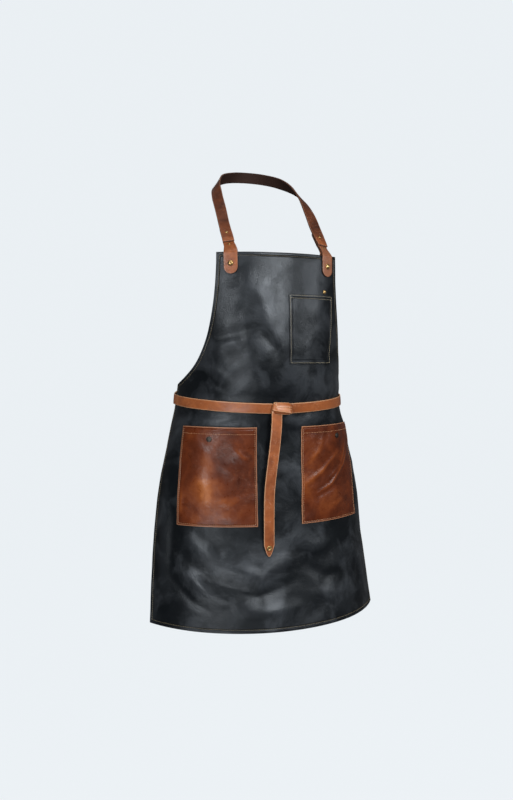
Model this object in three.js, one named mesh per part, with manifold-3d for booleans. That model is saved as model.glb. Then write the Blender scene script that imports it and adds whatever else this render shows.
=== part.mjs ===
// A leather bib apron in its worn shape: a bib and skirt in one panel, patch pockets, a riveted neck
// strap, and two waist straps that run round the back and are tied in front.
// Millimetres, +Z up. The front faces -Y, and +X is the wearer's left. Every piece is worked out in the
// wearer's frame, with the hem at z = 0, and the whole is then moved so that the flat inner face of the
// neck strap at the nape is the origin.
import * as THREE from "three";
import { mergeVertices } from "three/addons/utils/BufferGeometryUtils.js";
import Module from "manifold-3d";

const wasm = await Module();
wasm.setup();

// ---- Driving dimensions -------------------------------------------------------------------------
// The panel, measured along the leather.
const SKIRT_LENGTH = 520; // hem to the foot of the armholes
const BIB_LENGTH = 280; // foot of the armholes to the top edge
const HEM_HALF = 318;
const WAIST_HALF = 277.5; // at the foot of the armholes
const BIB_HALF = 141.5; // at the top edge
const ARMHOLE_BEND = 1.365; // how soon the armhole runs in
const ARMHOLE_SHARPNESS = 3.87; // how tight its inner bend is
const TOP = SKIRT_LENGTH + BIB_LENGTH;

// Leather thicknesses and the clearances between separate pieces.
const PANEL_THICK = 2.2;
const POCKET_THICK = 1.8;
const LEAF_THICK = 2.4;
const STRAP_THICK = 3.4;
const TIE_THICK = 3;
const GAP = 0.4; // between flat pieces that touch
const FRONT_GAP = 0.6; // from the panel's face to what lies on it
const BACK_GAP = 0.8; // from the panel's back to what lies behind it
const TAB_GAP = 1.3; // from the panel's face to a tab, and between a tab's leaves above the bib
const HOLE_GAP = 0.4; // round a shank, in radius

// Patch pockets. The hip pockets splay a little, so their lower outer corner lies further out.
const HIP_POCKET = { inner: 50.4, width: 169, splay: 11.4, drop: 89.6, depth: 212.4 };
const CHEST_POCKET = { inner: 11.6, width: 116.6, splay: 0, drop: 87, depth: 147.5 };

// The neck strap, its tabs and their rivets.
const STRAP_WIDTH = 25;
const TAB_WIDTH = 29;
const TAB_INSET = 31.1; // from the bib's corner to the tab's middle
const TAB_FOOT = 46; // from the top edge down to the tab's round end
const STUD_DROP = 24; // from the top edge down to the big stud
const LAP_RISE = 24; // from the top edge up to the strap's lapped end
const LOWER_RIVET_RISE = 19;
const UPPER_RIVET_RISE = 44;
const LEAF_RISE = 56; // from the top edge up to the leaves' upper ends
const FLEX_RISE = 67; // height of the line where the strap flexes
const FLEX_GAP = 3; // left clear on each side of that line

// The waist straps, the knot and the hanging end.
const TIE_WIDTH = 22;
const TIE_SIDE_DROP = 34; // below the foot of the armholes, at the side edges
const TIE_FRONT_DROP = 49; // and at the knot
const TIE_LIFT = 1.5; // from the panel's face to the strap's inner face
const BACK_DEPTH = 80; // how far the straps run behind the panel's side edges
const BACK_RISE = 13; // one strap passes this far above and the other below the tie's height
const ANCHOR_INSET = 16; // from the panel's side edge to the rivet that fixes a strap
const ANCHOR_TAIL = 12; // leather left past that rivet
const KNOT = { left: -24, right: 22, depth: 14, height: 27, round: 6.5 };
const TAIL = { width: 23, length: 299, point: 24, tip: 4, top: -12.6, lean: 17, leanEnd: 190, hinge: 2.5 };
const EYELET = { rise: 17.5, radius: 6, hole: 2, shank: 2.7, lip: 1.1, washer: 1 };

// Rivets, studs and snaps: radius of the head, height of its dome, radius of the shank.
const STUD = { radius: 6, dome: 3, rim: 1, shank: 2, back: 1.4 };
const RIVET = { radius: 3, dome: 1.2, rim: 0.5, shank: 1.1, back: 0.9 };
const CHEST_RIVET = { radius: 4.6, dome: 2, rim: 0.8, shank: 1.4, back: 1 };
const ANCHOR_RIVET = { radius: 4.5, dome: 0.3, rim: 0.5, shank: 1.6, back: 1.2 };
const CHEST_RIVET_SHARE = 0.79; // across the chest pocket
const CHEST_RIVET_RISE = 7.5; // above its mouth
const SNAP = {
  across: 100.5, // from the pocket's inner edge
  drop: 25.7, // from the pocket's mouth
  capRadius: 6,
  capRim: 0.8,
  capDome: 1.3,
  shank: 1.3,
  flangeRadius: 5,
  flange: 0.8,
  knobRadius: 2.6,
  knob: 2.2,
  socketRadius: 5.5,
  plate: 1,
};

// Horizontal sections of the worn panel, from the hem up. Each gives its height as a share of the
// skirt (below 1) or of the bib (1 and above, less 1), how far in front of the wearer's axis its middle
// lies, the radius of its bend there, and the angle it has turned by WRAP_REACH along the leather.
const WRAP_REACH = 250;
const SECTIONS = [
  { height: 0, front: 157, radius: 333, wrap: 45.7 },
  { height: 0.31, front: 122.6, radius: 345, wrap: 49.7 },
  { height: 0.58, front: 110, radius: 370, wrap: 58.3 },
  { height: 0.81, front: 108, radius: 303, wrap: 73.5 },
  { height: 0.905, front: 115.7, radius: 227, wrap: 75.8 },
  { height: 1.14, front: 136.5, radius: 192, wrap: 75.2 },
  { height: 1.57, front: 134.3, radius: 250, wrap: 82.3 },
  { height: 2, front: 124.9, radius: 333, wrap: 87.8 },
];

// The neck strap's middle line above the bib, from a tab to the nape: its distance from the wearer's
// middle as a share of the tab's, then how far behind and above the bib's top edge it lies, and which
// way its outer face looks.
const NECK_ROUTE = [
  { share: 1.007, back: 4.5, rise: 13, out: [0.36, -0.8, 0.42] },
  { share: 0.996, back: 16, rise: 22, out: [0.28, -0.78, 0.54] },
  { share: 0.99, back: 27, rise: 34, out: [0.2, -0.78, 0.57] },
  { share: 0.98, back: 59, rise: 67, out: [0, -0.77, 0.61] },
  { share: 0.97, back: 89, rise: 102, out: [0.14, -0.72, 0.66] },
  { share: 0.945, back: 130, rise: 142, out: [0.53, -0.52, 0.67] },
  { share: 0.856, back: 172, rise: 174, out: [0.76, 0, 0.62] },
  { share: 0.64, back: 206.7, rise: 195.5, out: [0.74, 0.54, 0.4] },
  { share: 0.35, back: 227, rise: 205.8, out: [0.4, 0.81, 0.4] },
  { share: 0, back: 234, rise: 209, out: [0, 1, 0] },
];

const TURN_SEGMENTS = 16; // round a rivet
const HOLE_SEGMENTS = 12;

// ---- Materials ----------------------------------------------------------------------------------
function leather(color, roughness) {
  return new THREE.MeshStandardMaterial({ color, roughness, metalness: 0 });
}

function metal(color, roughness) {
  return new THREE.MeshStandardMaterial({ color, roughness, metalness: 1 });
}

const BLACK_LEATHER = leather(0x24282c, 0.45);
const POCKET_LEATHER = leather(0x7a3c1e, 0.4);
const STRAP_LEATHER = leather(0x6a3820, 0.5);
const TIE_LEATHER = leather(0xaa6238, 0.55);
const BRASS = metal(0xc9a35a, 0.3);
const GUNMETAL = metal(0x3a3a3c, 0.35);

// ---- Small helpers ------------------------------------------------------------------------------
const smooth = (x) => {
  const t = THREE.MathUtils.clamp(x, 0, 1);
  return t * t * (3 - 2 * t);
};
const mix = (a, b, t) => a + (b - a) * t;

// A closed body between two faces that are grids of points: place(i, j, outer) gives a corner, with i
// running to the left of the wearer, j upwards, and outer true on the face that looks outwards.
function slab(columns, rows, place) {
  const corners = [];
  for (const outer of [false, true])
    for (let j = 0; j <= rows; j++)
      for (let i = 0; i <= columns; i++) corners.push(...place(i, j, outer).toArray());
  const at = (i, j, outer) => (outer ? (rows + 1) * (columns + 1) : 0) + j * (columns + 1) + i;
  const faces = [];
  const quad = (a, b, c, d) => faces.push(a, b, c, a, c, d);
  for (let j = 0; j < rows; j++) {
    for (let i = 0; i < columns; i++) {
      quad(at(i, j, true), at(i + 1, j, true), at(i + 1, j + 1, true), at(i, j + 1, true));
      quad(at(i, j, false), at(i, j + 1, false), at(i + 1, j + 1, false), at(i + 1, j, false));
    }
    quad(at(0, j, false), at(0, j, true), at(0, j + 1, true), at(0, j + 1, false));
    quad(at(columns, j, true), at(columns, j, false), at(columns, j + 1, false), at(columns, j + 1, true));
  }
  for (let i = 0; i < columns; i++) {
    quad(at(i, 0, false), at(i + 1, 0, false), at(i + 1, 0, true), at(i, 0, true));
    quad(at(i, rows, true), at(i + 1, rows, true), at(i + 1, rows, false), at(i, rows, false));
  }
  const geometry = new THREE.BufferGeometry();
  geometry.setAttribute("position", new THREE.Float32BufferAttribute(corners, 3));
  geometry.setIndex(faces);
  return geometry;
}

// A flat strap along stations, each with a point on its middle line, the way its outer face looks and
// its half width.
function band(stations, thickness) {
  const tangents = stations.map((_, k) => {
    const next = stations[Math.min(k + 1, stations.length - 1)].point;
    const last = stations[Math.max(k - 1, 0)].point;
    return next.clone().sub(last).normalize();
  });
  return slab(1, stations.length - 1, (i, j, outer) => {
    const { point, out, half } = stations[j];
    const face = out.clone().addScaledVector(tangents[j], -out.dot(tangents[j])).normalize();
    const across = tangents[j].clone().cross(face);
    return point
      .clone()
      .addScaledVector(across, i ? half : -half)
      .addScaledVector(face, outer ? thickness / 2 : -thickness / 2);
  });
}

function solidOf(geometry) {
  const bare = geometry.index ? geometry.clone() : mergeVertices(geometry);
  bare.deleteAttribute("normal");
  bare.deleteAttribute("uv");
  const merged = mergeVertices(bare, 1e-4);
  return new wasm.Manifold(
    new wasm.Mesh({
      numProp: 3,
      vertProperties: merged.attributes.position.array,
      triVerts: new Uint32Array(merged.index.array),
    }),
  );
}

function geometryOf(solid) {
  const mesh = solid.getMesh();
  const geometry = new THREE.BufferGeometry();
  geometry.setAttribute("position", new THREE.BufferAttribute(mesh.vertProperties, 3));
  geometry.setIndex(new THREE.BufferAttribute(mesh.triVerts, 1));
  return geometry;
}

const UP = new THREE.Vector3(0, 1, 0);
const facing = (out) => new THREE.Quaternion().setFromUnitVectors(UP, out);

// The geometry with a round hole along each seat's normal.
function drilled(geometry, holes) {
  let solid = solidOf(geometry);
  for (const { seat, radius, reach } of holes) {
    const tool = new THREE.CylinderGeometry(radius, radius, 2 * reach, HOLE_SEGMENTS);
    tool.applyQuaternion(facing(seat.out)).translate(seat.point.x, seat.point.y, seat.point.z);
    solid = solid.subtract(solidOf(tool));
  }
  return geometryOf(solid);
}

// ---- The worn surface ---------------------------------------------------------------------------
const sectionHeight = (share) =>
  share <= 1 ? share * SKIRT_LENGTH : SKIRT_LENGTH + (share - 1) * BIB_LENGTH;
const LEVELS = SECTIONS.map((s) => ({
  z: sectionHeight(s.height),
  front: -s.front,
  bend: 1 / s.radius,
  wrap: THREE.MathUtils.degToRad(s.wrap),
}));

// A smooth curve through one value of the sections.
function along(key, z) {
  const last = LEVELS.length - 1;
  const slope = (k) => {
    const a = LEVELS[Math.max(k - 1, 0)];
    const b = LEVELS[Math.min(k + 1, last)];
    return (b[key] - a[key]) / (b.z - a.z);
  };
  let k = 0;
  while (k < last - 1 && z > LEVELS[k + 1].z) k++;
  const [a, b] = [LEVELS[k], LEVELS[k + 1]];
  const h = b.z - a.z;
  const t = (z - a.z) / h;
  return (
    (2 * t ** 3 - 3 * t ** 2 + 1) * a[key] +
    (t ** 3 - 2 * t ** 2 + t) * h * slope(k) +
    (3 * t ** 2 - 2 * t ** 3) * b[key] +
    (t ** 3 - t ** 2) * h * slope(k + 1)
  );
}

// The point of the panel's face that lies s along the leather from its middle, at height z. The
// section's direction turns as bend * s + twist * s^3, summed here by Simpson's rule.
const STEPS = 24;
function facePoint(s, z) {
  const bend = along("bend", z);
  const twist = (along("wrap", z) - bend * WRAP_REACH) / WRAP_REACH ** 3;
  let x = 0;
  let y = 0;
  for (let k = 0; k <= STEPS; k++) {
    const u = (s * k) / STEPS;
    const angle = bend * u + twist * u ** 3;
    const weight = k === 0 || k === STEPS ? 1 : k % 2 ? 4 : 2;
    x += weight * Math.cos(angle);
    y += weight * Math.sin(angle);
  }
  const step = s / STEPS / 3;
  return new THREE.Vector3(x * step, along("front", z) + y * step, z);
}

function faceNormal(s, z) {
  const d = 0.5;
  const across = facePoint(s + d, z).sub(facePoint(s - d, z));
  const low = Math.max(z - d, 0);
  const high = Math.min(z + d, TOP);
  const up = facePoint(s, high).sub(facePoint(s, low));
  return across.cross(up).normalize();
}

// A seat on the panel's face, lifted off it along its normal.
function seatAt(s, z, lift = 0) {
  const out = faceNormal(s, z);
  return { point: facePoint(s, z).addScaledVector(out, lift), out };
}

const lifted = (seat, by) => ({ point: seat.point.clone().addScaledVector(seat.out, by), out: seat.out });

// The panel's half width at a height.
function halfWidth(z) {
  if (z <= SKIRT_LENGTH) return mix(HEM_HALF, WAIST_HALF, z / SKIRT_LENGTH);
  const t = (z - SKIRT_LENGTH) / BIB_LENGTH;
  return BIB_HALF + ((WAIST_HALF - BIB_HALF) * (1 - t) ** ARMHOLE_BEND) / (1 + ARMHOLE_SHARPNESS * t);
}

// ---- Rivets, studs and snaps --------------------------------------------------------------------
// Each is a turned piece on the Y axis, seated with that axis along the leather's normal.
function turned(profile) {
  return new THREE.LatheGeometry(
    profile.map(([r, h]) => new THREE.Vector2(r, h)),
    TURN_SEGMENTS,
  );
}

const seated = (geometry, seat) => {
  const mesh = new THREE.Mesh(geometry);
  mesh.position.copy(seat.point);
  mesh.quaternion.copy(facing(seat.out));
  return mesh;
};

// A domed head on a shank that reaches inwards by grip.
function head({ radius, dome, rim, shank }, grip) {
  return turned([
    [0, -grip],
    [shank, -grip],
    [shank, 0],
    [radius, 0],
    [radius, rim],
    [radius * 0.8, rim + dome * 0.5],
    [radius * 0.45, rim + dome * 0.9],
    [0, rim + dome],
  ]);
}

// The flat back of a rivet, below the shank's end.
function back({ radius, back: thick }) {
  return turned([
    [0, -thick],
    [radius * 0.86, -thick],
    [radius, -thick * 0.6],
    [radius, 0],
    [0, 0],
  ]);
}

// The pair of pieces of one rivet through a stack of leather whose outer face is at the seat.
function rivet(name, size, seat, stack) {
  const grip = stack + GAP;
  return [
    [`${name}_cap`, seated(head(size, grip), lifted(seat, GAP)), BRASS],
    [`${name}_back`, seated(back(size), lifted(seat, -stack - GAP)), BRASS],
  ];
}

// ---- The pieces ---------------------------------------------------------------------------------
const sides = [
  { name: "left", sign: 1 },
  { name: "right", sign: -1 },
];
const pieces = []; // [node name, mesh, material]
const panelHoles = [];

// Patch pockets. They lie FRONT_GAP off the panel at their sewn edges and stand off it at the mouth.
// A share across runs from the inner edge to the outer one, and a share up from the foot to the mouth.
const POUCH_FOOT = 0.45; // share up at which the stand-off starts
function pouch(across, up) {
  return Math.sin(Math.PI * across) ** 0.8 * smooth((up - POUCH_FOOT) / (0.88 - POUCH_FOOT));
}

function pocketSurface(pocket, mouth, sign, stand) {
  return (across, up, extra) => {
    const outer = pocket.inner + pocket.width + pocket.splay * (1 - up);
    const s = sign * mix(pocket.inner, outer, across);
    const z = mouth - pocket.depth * (1 - up);
    return seatAt(s, z, FRONT_GAP + stand * pouch(across, up) + extra);
  };
}

function pocketGeometry(surface, sign, columns, rows) {
  return slab(columns, rows, (i, j, outer) => {
    const across = sign > 0 ? i / columns : 1 - i / columns;
    return surface(across, j / rows, outer ? POCKET_THICK : 0).point;
  });
}

const hipMouth = SKIRT_LENGTH - HIP_POCKET.drop;
const snapAcross = SNAP.across / HIP_POCKET.width;
const snapUp = 1 - SNAP.drop / HIP_POCKET.depth;
// Height above the panel's face at which the pocket's inner face meets the closed snap.
const snapStack = GAP + SNAP.flange + SNAP.knob + GAP + SNAP.plate + FRONT_GAP;
const hipStand = (snapStack - FRONT_GAP) / pouch(snapAcross, snapUp);

for (const { name, sign } of sides) {
  const surface = pocketSurface(HIP_POCKET, hipMouth, sign, hipStand);
  const s = sign * (HIP_POCKET.inner + SNAP.across);
  const seat = seatAt(s, hipMouth - SNAP.drop);
  const hole = { seat: lifted(seat, snapStack), radius: SNAP.shank + HOLE_GAP, reach: 6 };
  const leatherPatch = drilled(pocketGeometry(surface, sign, 14, 14), [hole]);
  pieces.push([`hip_pocket_${name}`, new THREE.Mesh(leatherPatch), POCKET_LEATHER]);

  const capHead = {
    radius: SNAP.capRadius,
    rim: SNAP.capRim,
    dome: SNAP.capDome,
    shank: SNAP.shank,
  };
  const capSeat = lifted(seat, snapStack + POCKET_THICK + GAP);
  const socketFoot = GAP + SNAP.flange + GAP;
  const socketTop = snapStack - FRONT_GAP;
  const bore = SNAP.knobRadius + HOLE_GAP;
  const socket = turned([
    [0, socketTop - SNAP.plate],
    [bore, socketTop - SNAP.plate],
    [bore, socketFoot],
    [SNAP.socketRadius, socketFoot],
    [SNAP.socketRadius, socketTop],
    [0, socketTop],
  ]);
  const flangeFoot = GAP;
  const stud = turned([
    [0, flangeFoot],
    [SNAP.flangeRadius, flangeFoot],
    [SNAP.flangeRadius, flangeFoot + SNAP.flange],
    [SNAP.knobRadius * 0.8, flangeFoot + SNAP.flange],
    [SNAP.knobRadius, flangeFoot + SNAP.flange + SNAP.knob * 0.6],
    [SNAP.knobRadius * 0.7, flangeFoot + SNAP.flange + SNAP.knob],
    [0, flangeFoot + SNAP.flange + SNAP.knob],
  ]);
  const post = turned([
    [0, -PANEL_THICK - BACK_GAP - SNAP.flange],
    [SNAP.flangeRadius, -PANEL_THICK - BACK_GAP - SNAP.flange],
    [SNAP.flangeRadius, -PANEL_THICK - BACK_GAP],
    [SNAP.shank, -PANEL_THICK - BACK_GAP],
    [SNAP.shank, 0],
    [0, 0],
  ]);
  pieces.push([`snap_cap_${name}`, seated(head(capHead, POCKET_THICK + GAP), capSeat), GUNMETAL]);
  pieces.push([`snap_socket_${name}`, seated(socket, seat), GUNMETAL]);
  pieces.push([`snap_stud_${name}`, seated(stud, seat), GUNMETAL]);
  pieces.push([`snap_post_${name}`, seated(post, seat), GUNMETAL]);
  panelHoles.push({ seat, radius: SNAP.shank + HOLE_GAP, reach: 8 });
}

// The chest pocket, with the brass rivet just above its mouth.
const chestMouth = TOP - CHEST_POCKET.drop;
const CHEST_STAND = 1.2;
const chestSurface = pocketSurface(CHEST_POCKET, chestMouth, 1, CHEST_STAND);
pieces.push([
  "chest_pocket",
  new THREE.Mesh(pocketGeometry(chestSurface, 1, 9, 8)),
  BLACK_LEATHER,
]);
const chestRivetSeat = seatAt(
  CHEST_POCKET.inner + CHEST_POCKET.width * CHEST_RIVET_SHARE,
  chestMouth + CHEST_RIVET_RISE,
);
pieces.push(...rivet("chest_rivet", CHEST_RIVET, chestRivetSeat, PANEL_THICK + GAP));
panelHoles.push({ seat: chestRivetSeat, radius: CHEST_RIVET.shank + HOLE_GAP, reach: 8 });

// The neck strap's route on one side: up the bib's face, over its edge and back to the nape. Its
// middle line is that of the strap itself, and the tab's leaves lie inside it.
const tabMiddle = BIB_HALF - TAB_INSET;
const lap = STRAP_THICK / 2 + FRONT_GAP + LEAF_THICK / 2; // strap's middle to front leaf's middle
const routeLift = TAB_GAP + LEAF_THICK / 2 + lap;

function neckStations(sign) {
  const shoulder = facePoint(tabMiddle, TOP);
  const onBib = [TAB_FOOT, STUD_DROP, 8, 0].map((drop) => seatAt(tabMiddle, TOP - drop, routeLift));
  const free = NECK_ROUTE.map(({ share, back: behind, rise, out }) => ({
    point: new THREE.Vector3(share * shoulder.x, shoulder.y + behind, TOP + rise),
    out: new THREE.Vector3(...out).normalize(),
  }));
  return [...onBib, ...free].map(({ point, out }) => ({
    point: new THREE.Vector3(sign * point.x, point.y, point.z),
    out: new THREE.Vector3(sign * out.x, out.y, out.z),
  }));
}

// The whole route from the wearer's right tab over the nape to the left one, as two smooth curves: the
// middle line and the way the outer face looks.
const rightWay = neckStations(-1);
const leftWay = neckStations(1).slice(0, -1).reverse();
const knots = [...rightWay, ...leftWay];
const neckLine = new THREE.CatmullRomCurve3(
  knots.map((k) => k.point),
  false,
  "centripetal",
);
const neckFace = new THREE.CatmullRomCurve3(
  knots.map((k) => k.out),
  false,
  "catmullrom",
);
const neckAt = (t) => {
  const point = neckLine.getPoint(t);
  const tangent = neckLine.getTangent(t);
  const out = neckFace.getPoint(t);
  out.addScaledVector(tangent, -out.dot(tangent)).normalize();
  return { point, out };
};

// The curve's parameter, on the wearer's right side, where it has risen to a height.
function neckParameter(z) {
  let [low, high] = [0, 0.5];
  for (let k = 0; k < 40; k++) {
    const middle = (low + high) / 2;
    if (neckLine.getPoint(middle).z < z) low = middle;
    else high = middle;
  }
  return low;
}
const onSide = (sign, t) => (sign < 0 ? t : 1 - t);

// Stations from one parameter to another, with a half width at each share of the way.
function neckBand(from, to, count, half, inset = () => 0) {
  return Array.from({ length: count + 1 }, (_, k) => {
    const share = k / count;
    const t = mix(from, to, share);
    const { point, out } = neckAt(t);
    return { point: point.addScaledVector(out, -inset(t)), out, half: half(share) };
  });
}

const flexT = neckParameter(TOP + FLEX_RISE);
const lengthPerRise = 1 / neckLine.getTangent(flexT).z; // route length for each mm of rise
const beforeFlex = neckParameter(TOP + FLEX_RISE - FLEX_GAP / lengthPerRise);
const afterFlex = neckParameter(TOP + FLEX_RISE + FLEX_GAP / lengthPerRise);
const lapT = neckParameter(TOP + LAP_RISE);
const leafTopT = neckParameter(TOP + LEAF_RISE);
const stubHalf = () => STRAP_WIDTH / 2;
const ROUTE_LENGTH_PER_RISE = 1.3; // above the bib's edge, where the route leans back

// An odd number of lengths puts one flat, upright face across the nape.
const LOOP_LENGTHS = 57;
const loopStations = neckBand(afterFlex, 1 - afterFlex, LOOP_LENGTHS, stubHalf);
const besideNape = (LOOP_LENGTHS - 1) / 2;
for (const station of loopStations.slice(besideNape, besideNape + 2)) station.out.set(0, 1, 0);
pieces.push(["neck_strap", new THREE.Mesh(band(loopStations, STRAP_THICK)), STRAP_LEATHER]);

// The point where the neck strap rests on the wearer's nape.
const napeMiddle = loopStations[besideNape].point
  .clone()
  .add(loopStations[besideNape + 1].point)
  .multiplyScalar(0.5);
const neckRest = napeMiddle.clone().add(new THREE.Vector3(0, -STRAP_THICK / 2, 0));

// Half width of a strip with a round end, at a distance from that end.
function roundEnd(distance, half) {
  const short = Math.max(half - distance, 0);
  return Math.max(Math.sqrt(half * half - short * short), half * 0.2);
}

// The back leaf runs up behind the bib, over its edge and closes on the front leaf. Its stations go
// from the round foot to the upper end, on the wearer's right side.
const behindPanel = PANEL_THICK + BACK_GAP + LEAF_THICK / 2;
const behindLeaf = lap + LEAF_THICK + TAB_GAP;
const EDGE_CLEAR = 2; // the back leaf is straight to this height above the bib's edge
const CLOSED_RISES = [18, 26, 36, 46, LEAF_RISE]; // and lies on the front leaf from here
function backLeafStations(count) {
  const low = [TAB_FOOT, STUD_DROP, 8, 0].map((drop) => seatAt(-tabMiddle, TOP - drop, -behindPanel));
  const edge = low[low.length - 1];
  const over = { point: edge.point.clone().setZ(TOP + EDGE_CLEAR), out: edge.out };
  const closed = CLOSED_RISES.map((rise) => {
    const { point, out } = neckAt(neckParameter(TOP + rise));
    return { point: point.addScaledVector(out, -behindLeaf), out };
  });
  const all = [...low, over, ...closed];
  const line = new THREE.CatmullRomCurve3(
    all.map((k) => k.point),
    false,
    "centripetal",
  );
  const face = new THREE.CatmullRomCurve3(
    all.map((k) => k.out),
    false,
    "catmullrom",
  );
  return Array.from({ length: count + 1 }, (_, k) => ({
    point: line.getPoint(k / count),
    out: face.getPoint(k / count),
    half: roundEnd((line.getLength() * k) / count, TAB_WIDTH / 2),
  }));
}

for (const { name, sign } of sides) {
  const foot = onSide(sign, 0);
  const leafTop = onSide(sign, leafTopT);
  const leafLength = TAB_FOOT + LEAF_RISE * ROUTE_LENGTH_PER_RISE;
  const leafHalf = (share) => roundEnd(share * leafLength, TAB_WIDTH / 2);
  const seatOnRoute = (rise) => neckAt(onSide(sign, neckParameter(TOP + rise)));
  const studSeat = seatOnRoute(-STUD_DROP);
  const lowerSeat = seatOnRoute(LOWER_RIVET_RISE);
  const upperSeat = seatOnRoute(UPPER_RIVET_RISE);
  const leafHoles = [
    { seat: studSeat, radius: STUD.shank + HOLE_GAP, reach: 16 },
    { seat: lowerSeat, radius: RIVET.shank + HOLE_GAP, reach: 12 },
    { seat: upperSeat, radius: RIVET.shank + HOLE_GAP, reach: 12 },
  ];
  const order = (from, to) => (sign < 0 ? [from, to] : [to, from]);
  const strip = (from, to, count, half, inset) => {
    const [a, b] = order(from, to);
    const share = sign < 0 ? half : (x) => half(1 - x);
    return neckBand(a, b, count, share, inset);
  };
  const front = band(strip(foot, leafTop, 26, leafHalf, () => lap), LEAF_THICK);
  const rearStations = backLeafStations(26).map(({ point, out, half }) => ({
    point: new THREE.Vector3(-sign * point.x, point.y, point.z),
    out: new THREE.Vector3(-sign * out.x, out.y, out.z),
    half,
  }));
  const rear = band(rearStations, LEAF_THICK);
  const stub = band(strip(onSide(sign, lapT), onSide(sign, beforeFlex), 10, stubHalf), STRAP_THICK);
  pieces.push([`tab_front_${name}`, new THREE.Mesh(drilled(front, leafHoles)), STRAP_LEATHER]);
  pieces.push([`tab_back_${name}`, new THREE.Mesh(drilled(rear, leafHoles)), STRAP_LEATHER]);
  pieces.push([
    `neck_strap_end_${name}`,
    new THREE.Mesh(drilled(stub, [leafHoles[2]])),
    STRAP_LEATHER,
  ]);
  const leafFace = LEAF_THICK / 2 - lap;
  const studStack = 2 * LEAF_THICK + TAB_GAP + PANEL_THICK + BACK_GAP;
  pieces.push(...rivet(`tab_stud_${name}`, STUD, lifted(studSeat, leafFace), studStack));
  const lowerStack = 2 * LEAF_THICK + TAB_GAP;
  pieces.push(...rivet(`tab_rivet_lower_${name}`, RIVET, lifted(lowerSeat, leafFace), lowerStack));
  const upperStack = STRAP_THICK + FRONT_GAP + lowerStack;
  pieces.push(
    ...rivet(`tab_rivet_upper_${name}`, RIVET, lifted(upperSeat, STRAP_THICK / 2), upperStack),
  );
  panelHoles.push({ seat: lifted(studSeat, leafFace), radius: STUD.shank + HOLE_GAP, reach: 14 });
}

// ---- Waist straps -------------------------------------------------------------------------------
// Height of the tie on the panel at a distance from the middle.
const tieSide = SKIRT_LENGTH - TIE_SIDE_DROP;
const tieFront = SKIRT_LENGTH - TIE_FRONT_DROP;
const tieHeight = (s) => mix(tieFront, tieSide, (Math.abs(s) / halfWidth(tieSide)) ** 1.5);
const tieEdge = halfWidth(tieSide);
const innerLift = -(PANEL_THICK + BACK_GAP + TIE_THICK / 2);
const outerLift = TIE_LIFT + TIE_THICK / 2;
const knotMiddle = (KNOT.left + KNOT.right) / 2;

// One strap starts behind the panel's edge on its own side (sign), runs round the back, passes over
// the other edge and comes forward to the knot. over is +1 for the strap that passes above at the back.
function tieStations(sign, over) {
  const stations = [];
  const push = (point, out) => stations.push({ point, out, half: TIE_WIDTH / 2 });
  const startS = tieEdge - ANCHOR_INSET - ANCHOR_TAIL;
  const edge = facePoint(tieEdge, tieSide);
  const edgeOut = faceNormal(tieEdge, tieSide);
  for (let k = 0; k <= 3; k++) {
    const s = sign * mix(startS, tieEdge, k / 3);
    const { point, out } = seatAt(s, tieSide, innerLift);
    push(point, out);
  }
  const COUNT = 34;
  for (let k = 1; k < COUNT; k++) {
    const share = k / COUNT;
    const angle = Math.PI * share;
    const lift = mix(innerLift, outerLift, smooth(share));
    const ring = new THREE.Vector3(
      sign * edge.x * Math.cos(angle),
      edge.y + BACK_DEPTH * Math.sin(angle),
      tieSide + over * BACK_RISE * smooth(Math.min(share, 1 - share) / 0.22),
    );
    const radial = new THREE.Vector3(
      sign * Math.cos(angle) * BACK_DEPTH,
      Math.sin(angle) * edge.x,
      0,
    ).normalize();
    const level = smooth(Math.min(share, 1 - share) / 0.15);
    radial.z = edgeOut.z * (1 - level);
    radial.normalize();
    push(ring.addScaledVector(radial, lift), radial);
  }
  const endX = sign > 0 ? KNOT.left - GAP : KNOT.right + GAP;
  const endS = Math.abs(endX);
  const FRONT_COUNT = 16;
  for (let k = 0; k <= FRONT_COUNT; k++) {
    const s = -sign * mix(tieEdge, endS, k / FRONT_COUNT);
    const { point, out } = seatAt(s, tieHeight(s), outerLift);
    push(point, out);
  }
  return stations;
}

for (const { name, sign } of sides) {
  const stations = tieStations(sign, sign);
  const seat = seatAt(sign * (tieEdge - ANCHOR_INSET), tieSide);
  const hole = { seat, radius: ANCHOR_RIVET.shank + HOLE_GAP, reach: 10 };
  const strap = drilled(band(stations, TIE_THICK), [hole]);
  pieces.push([`waist_strap_${name}`, new THREE.Mesh(strap), TIE_LEATHER]);
  const stack = PANEL_THICK + BACK_GAP + TIE_THICK;
  pieces.push(...rivet(`waist_anchor_${name}`, ANCHOR_RIVET, seat, stack));
  panelHoles.push(hole);
}

// The knot: the straps wound once about each other, as one rounded roll across the front.
function roundedBar(length, depth, height, round) {
  const [a, b] = [depth / 2, height / 2];
  const shape = new THREE.Shape();
  shape.moveTo(-a + round, -b);
  shape.lineTo(a - round, -b);
  shape.absarc(a - round, -b + round, round, -Math.PI / 2, 0);
  shape.lineTo(a, b - round);
  shape.absarc(a - round, b - round, round, 0, Math.PI / 2);
  shape.lineTo(-a + round, b);
  shape.absarc(-a + round, b - round, round, Math.PI / 2, Math.PI);
  shape.lineTo(-a, -b + round);
  shape.absarc(-a + round, -b + round, round, Math.PI, (3 * Math.PI) / 2);
  const bar = new THREE.ExtrudeGeometry(shape, {
    depth: length,
    bevelEnabled: false,
    curveSegments: 6,
  });
  // The outline's first direction becomes +Y, its second +Z, and the extrusion +X.
  const turn = new THREE.Matrix4().makeBasis(
    new THREE.Vector3(0, 1, 0),
    new THREE.Vector3(0, 0, 1),
    new THREE.Vector3(1, 0, 0),
  );
  return bar.applyMatrix4(turn);
}

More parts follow.
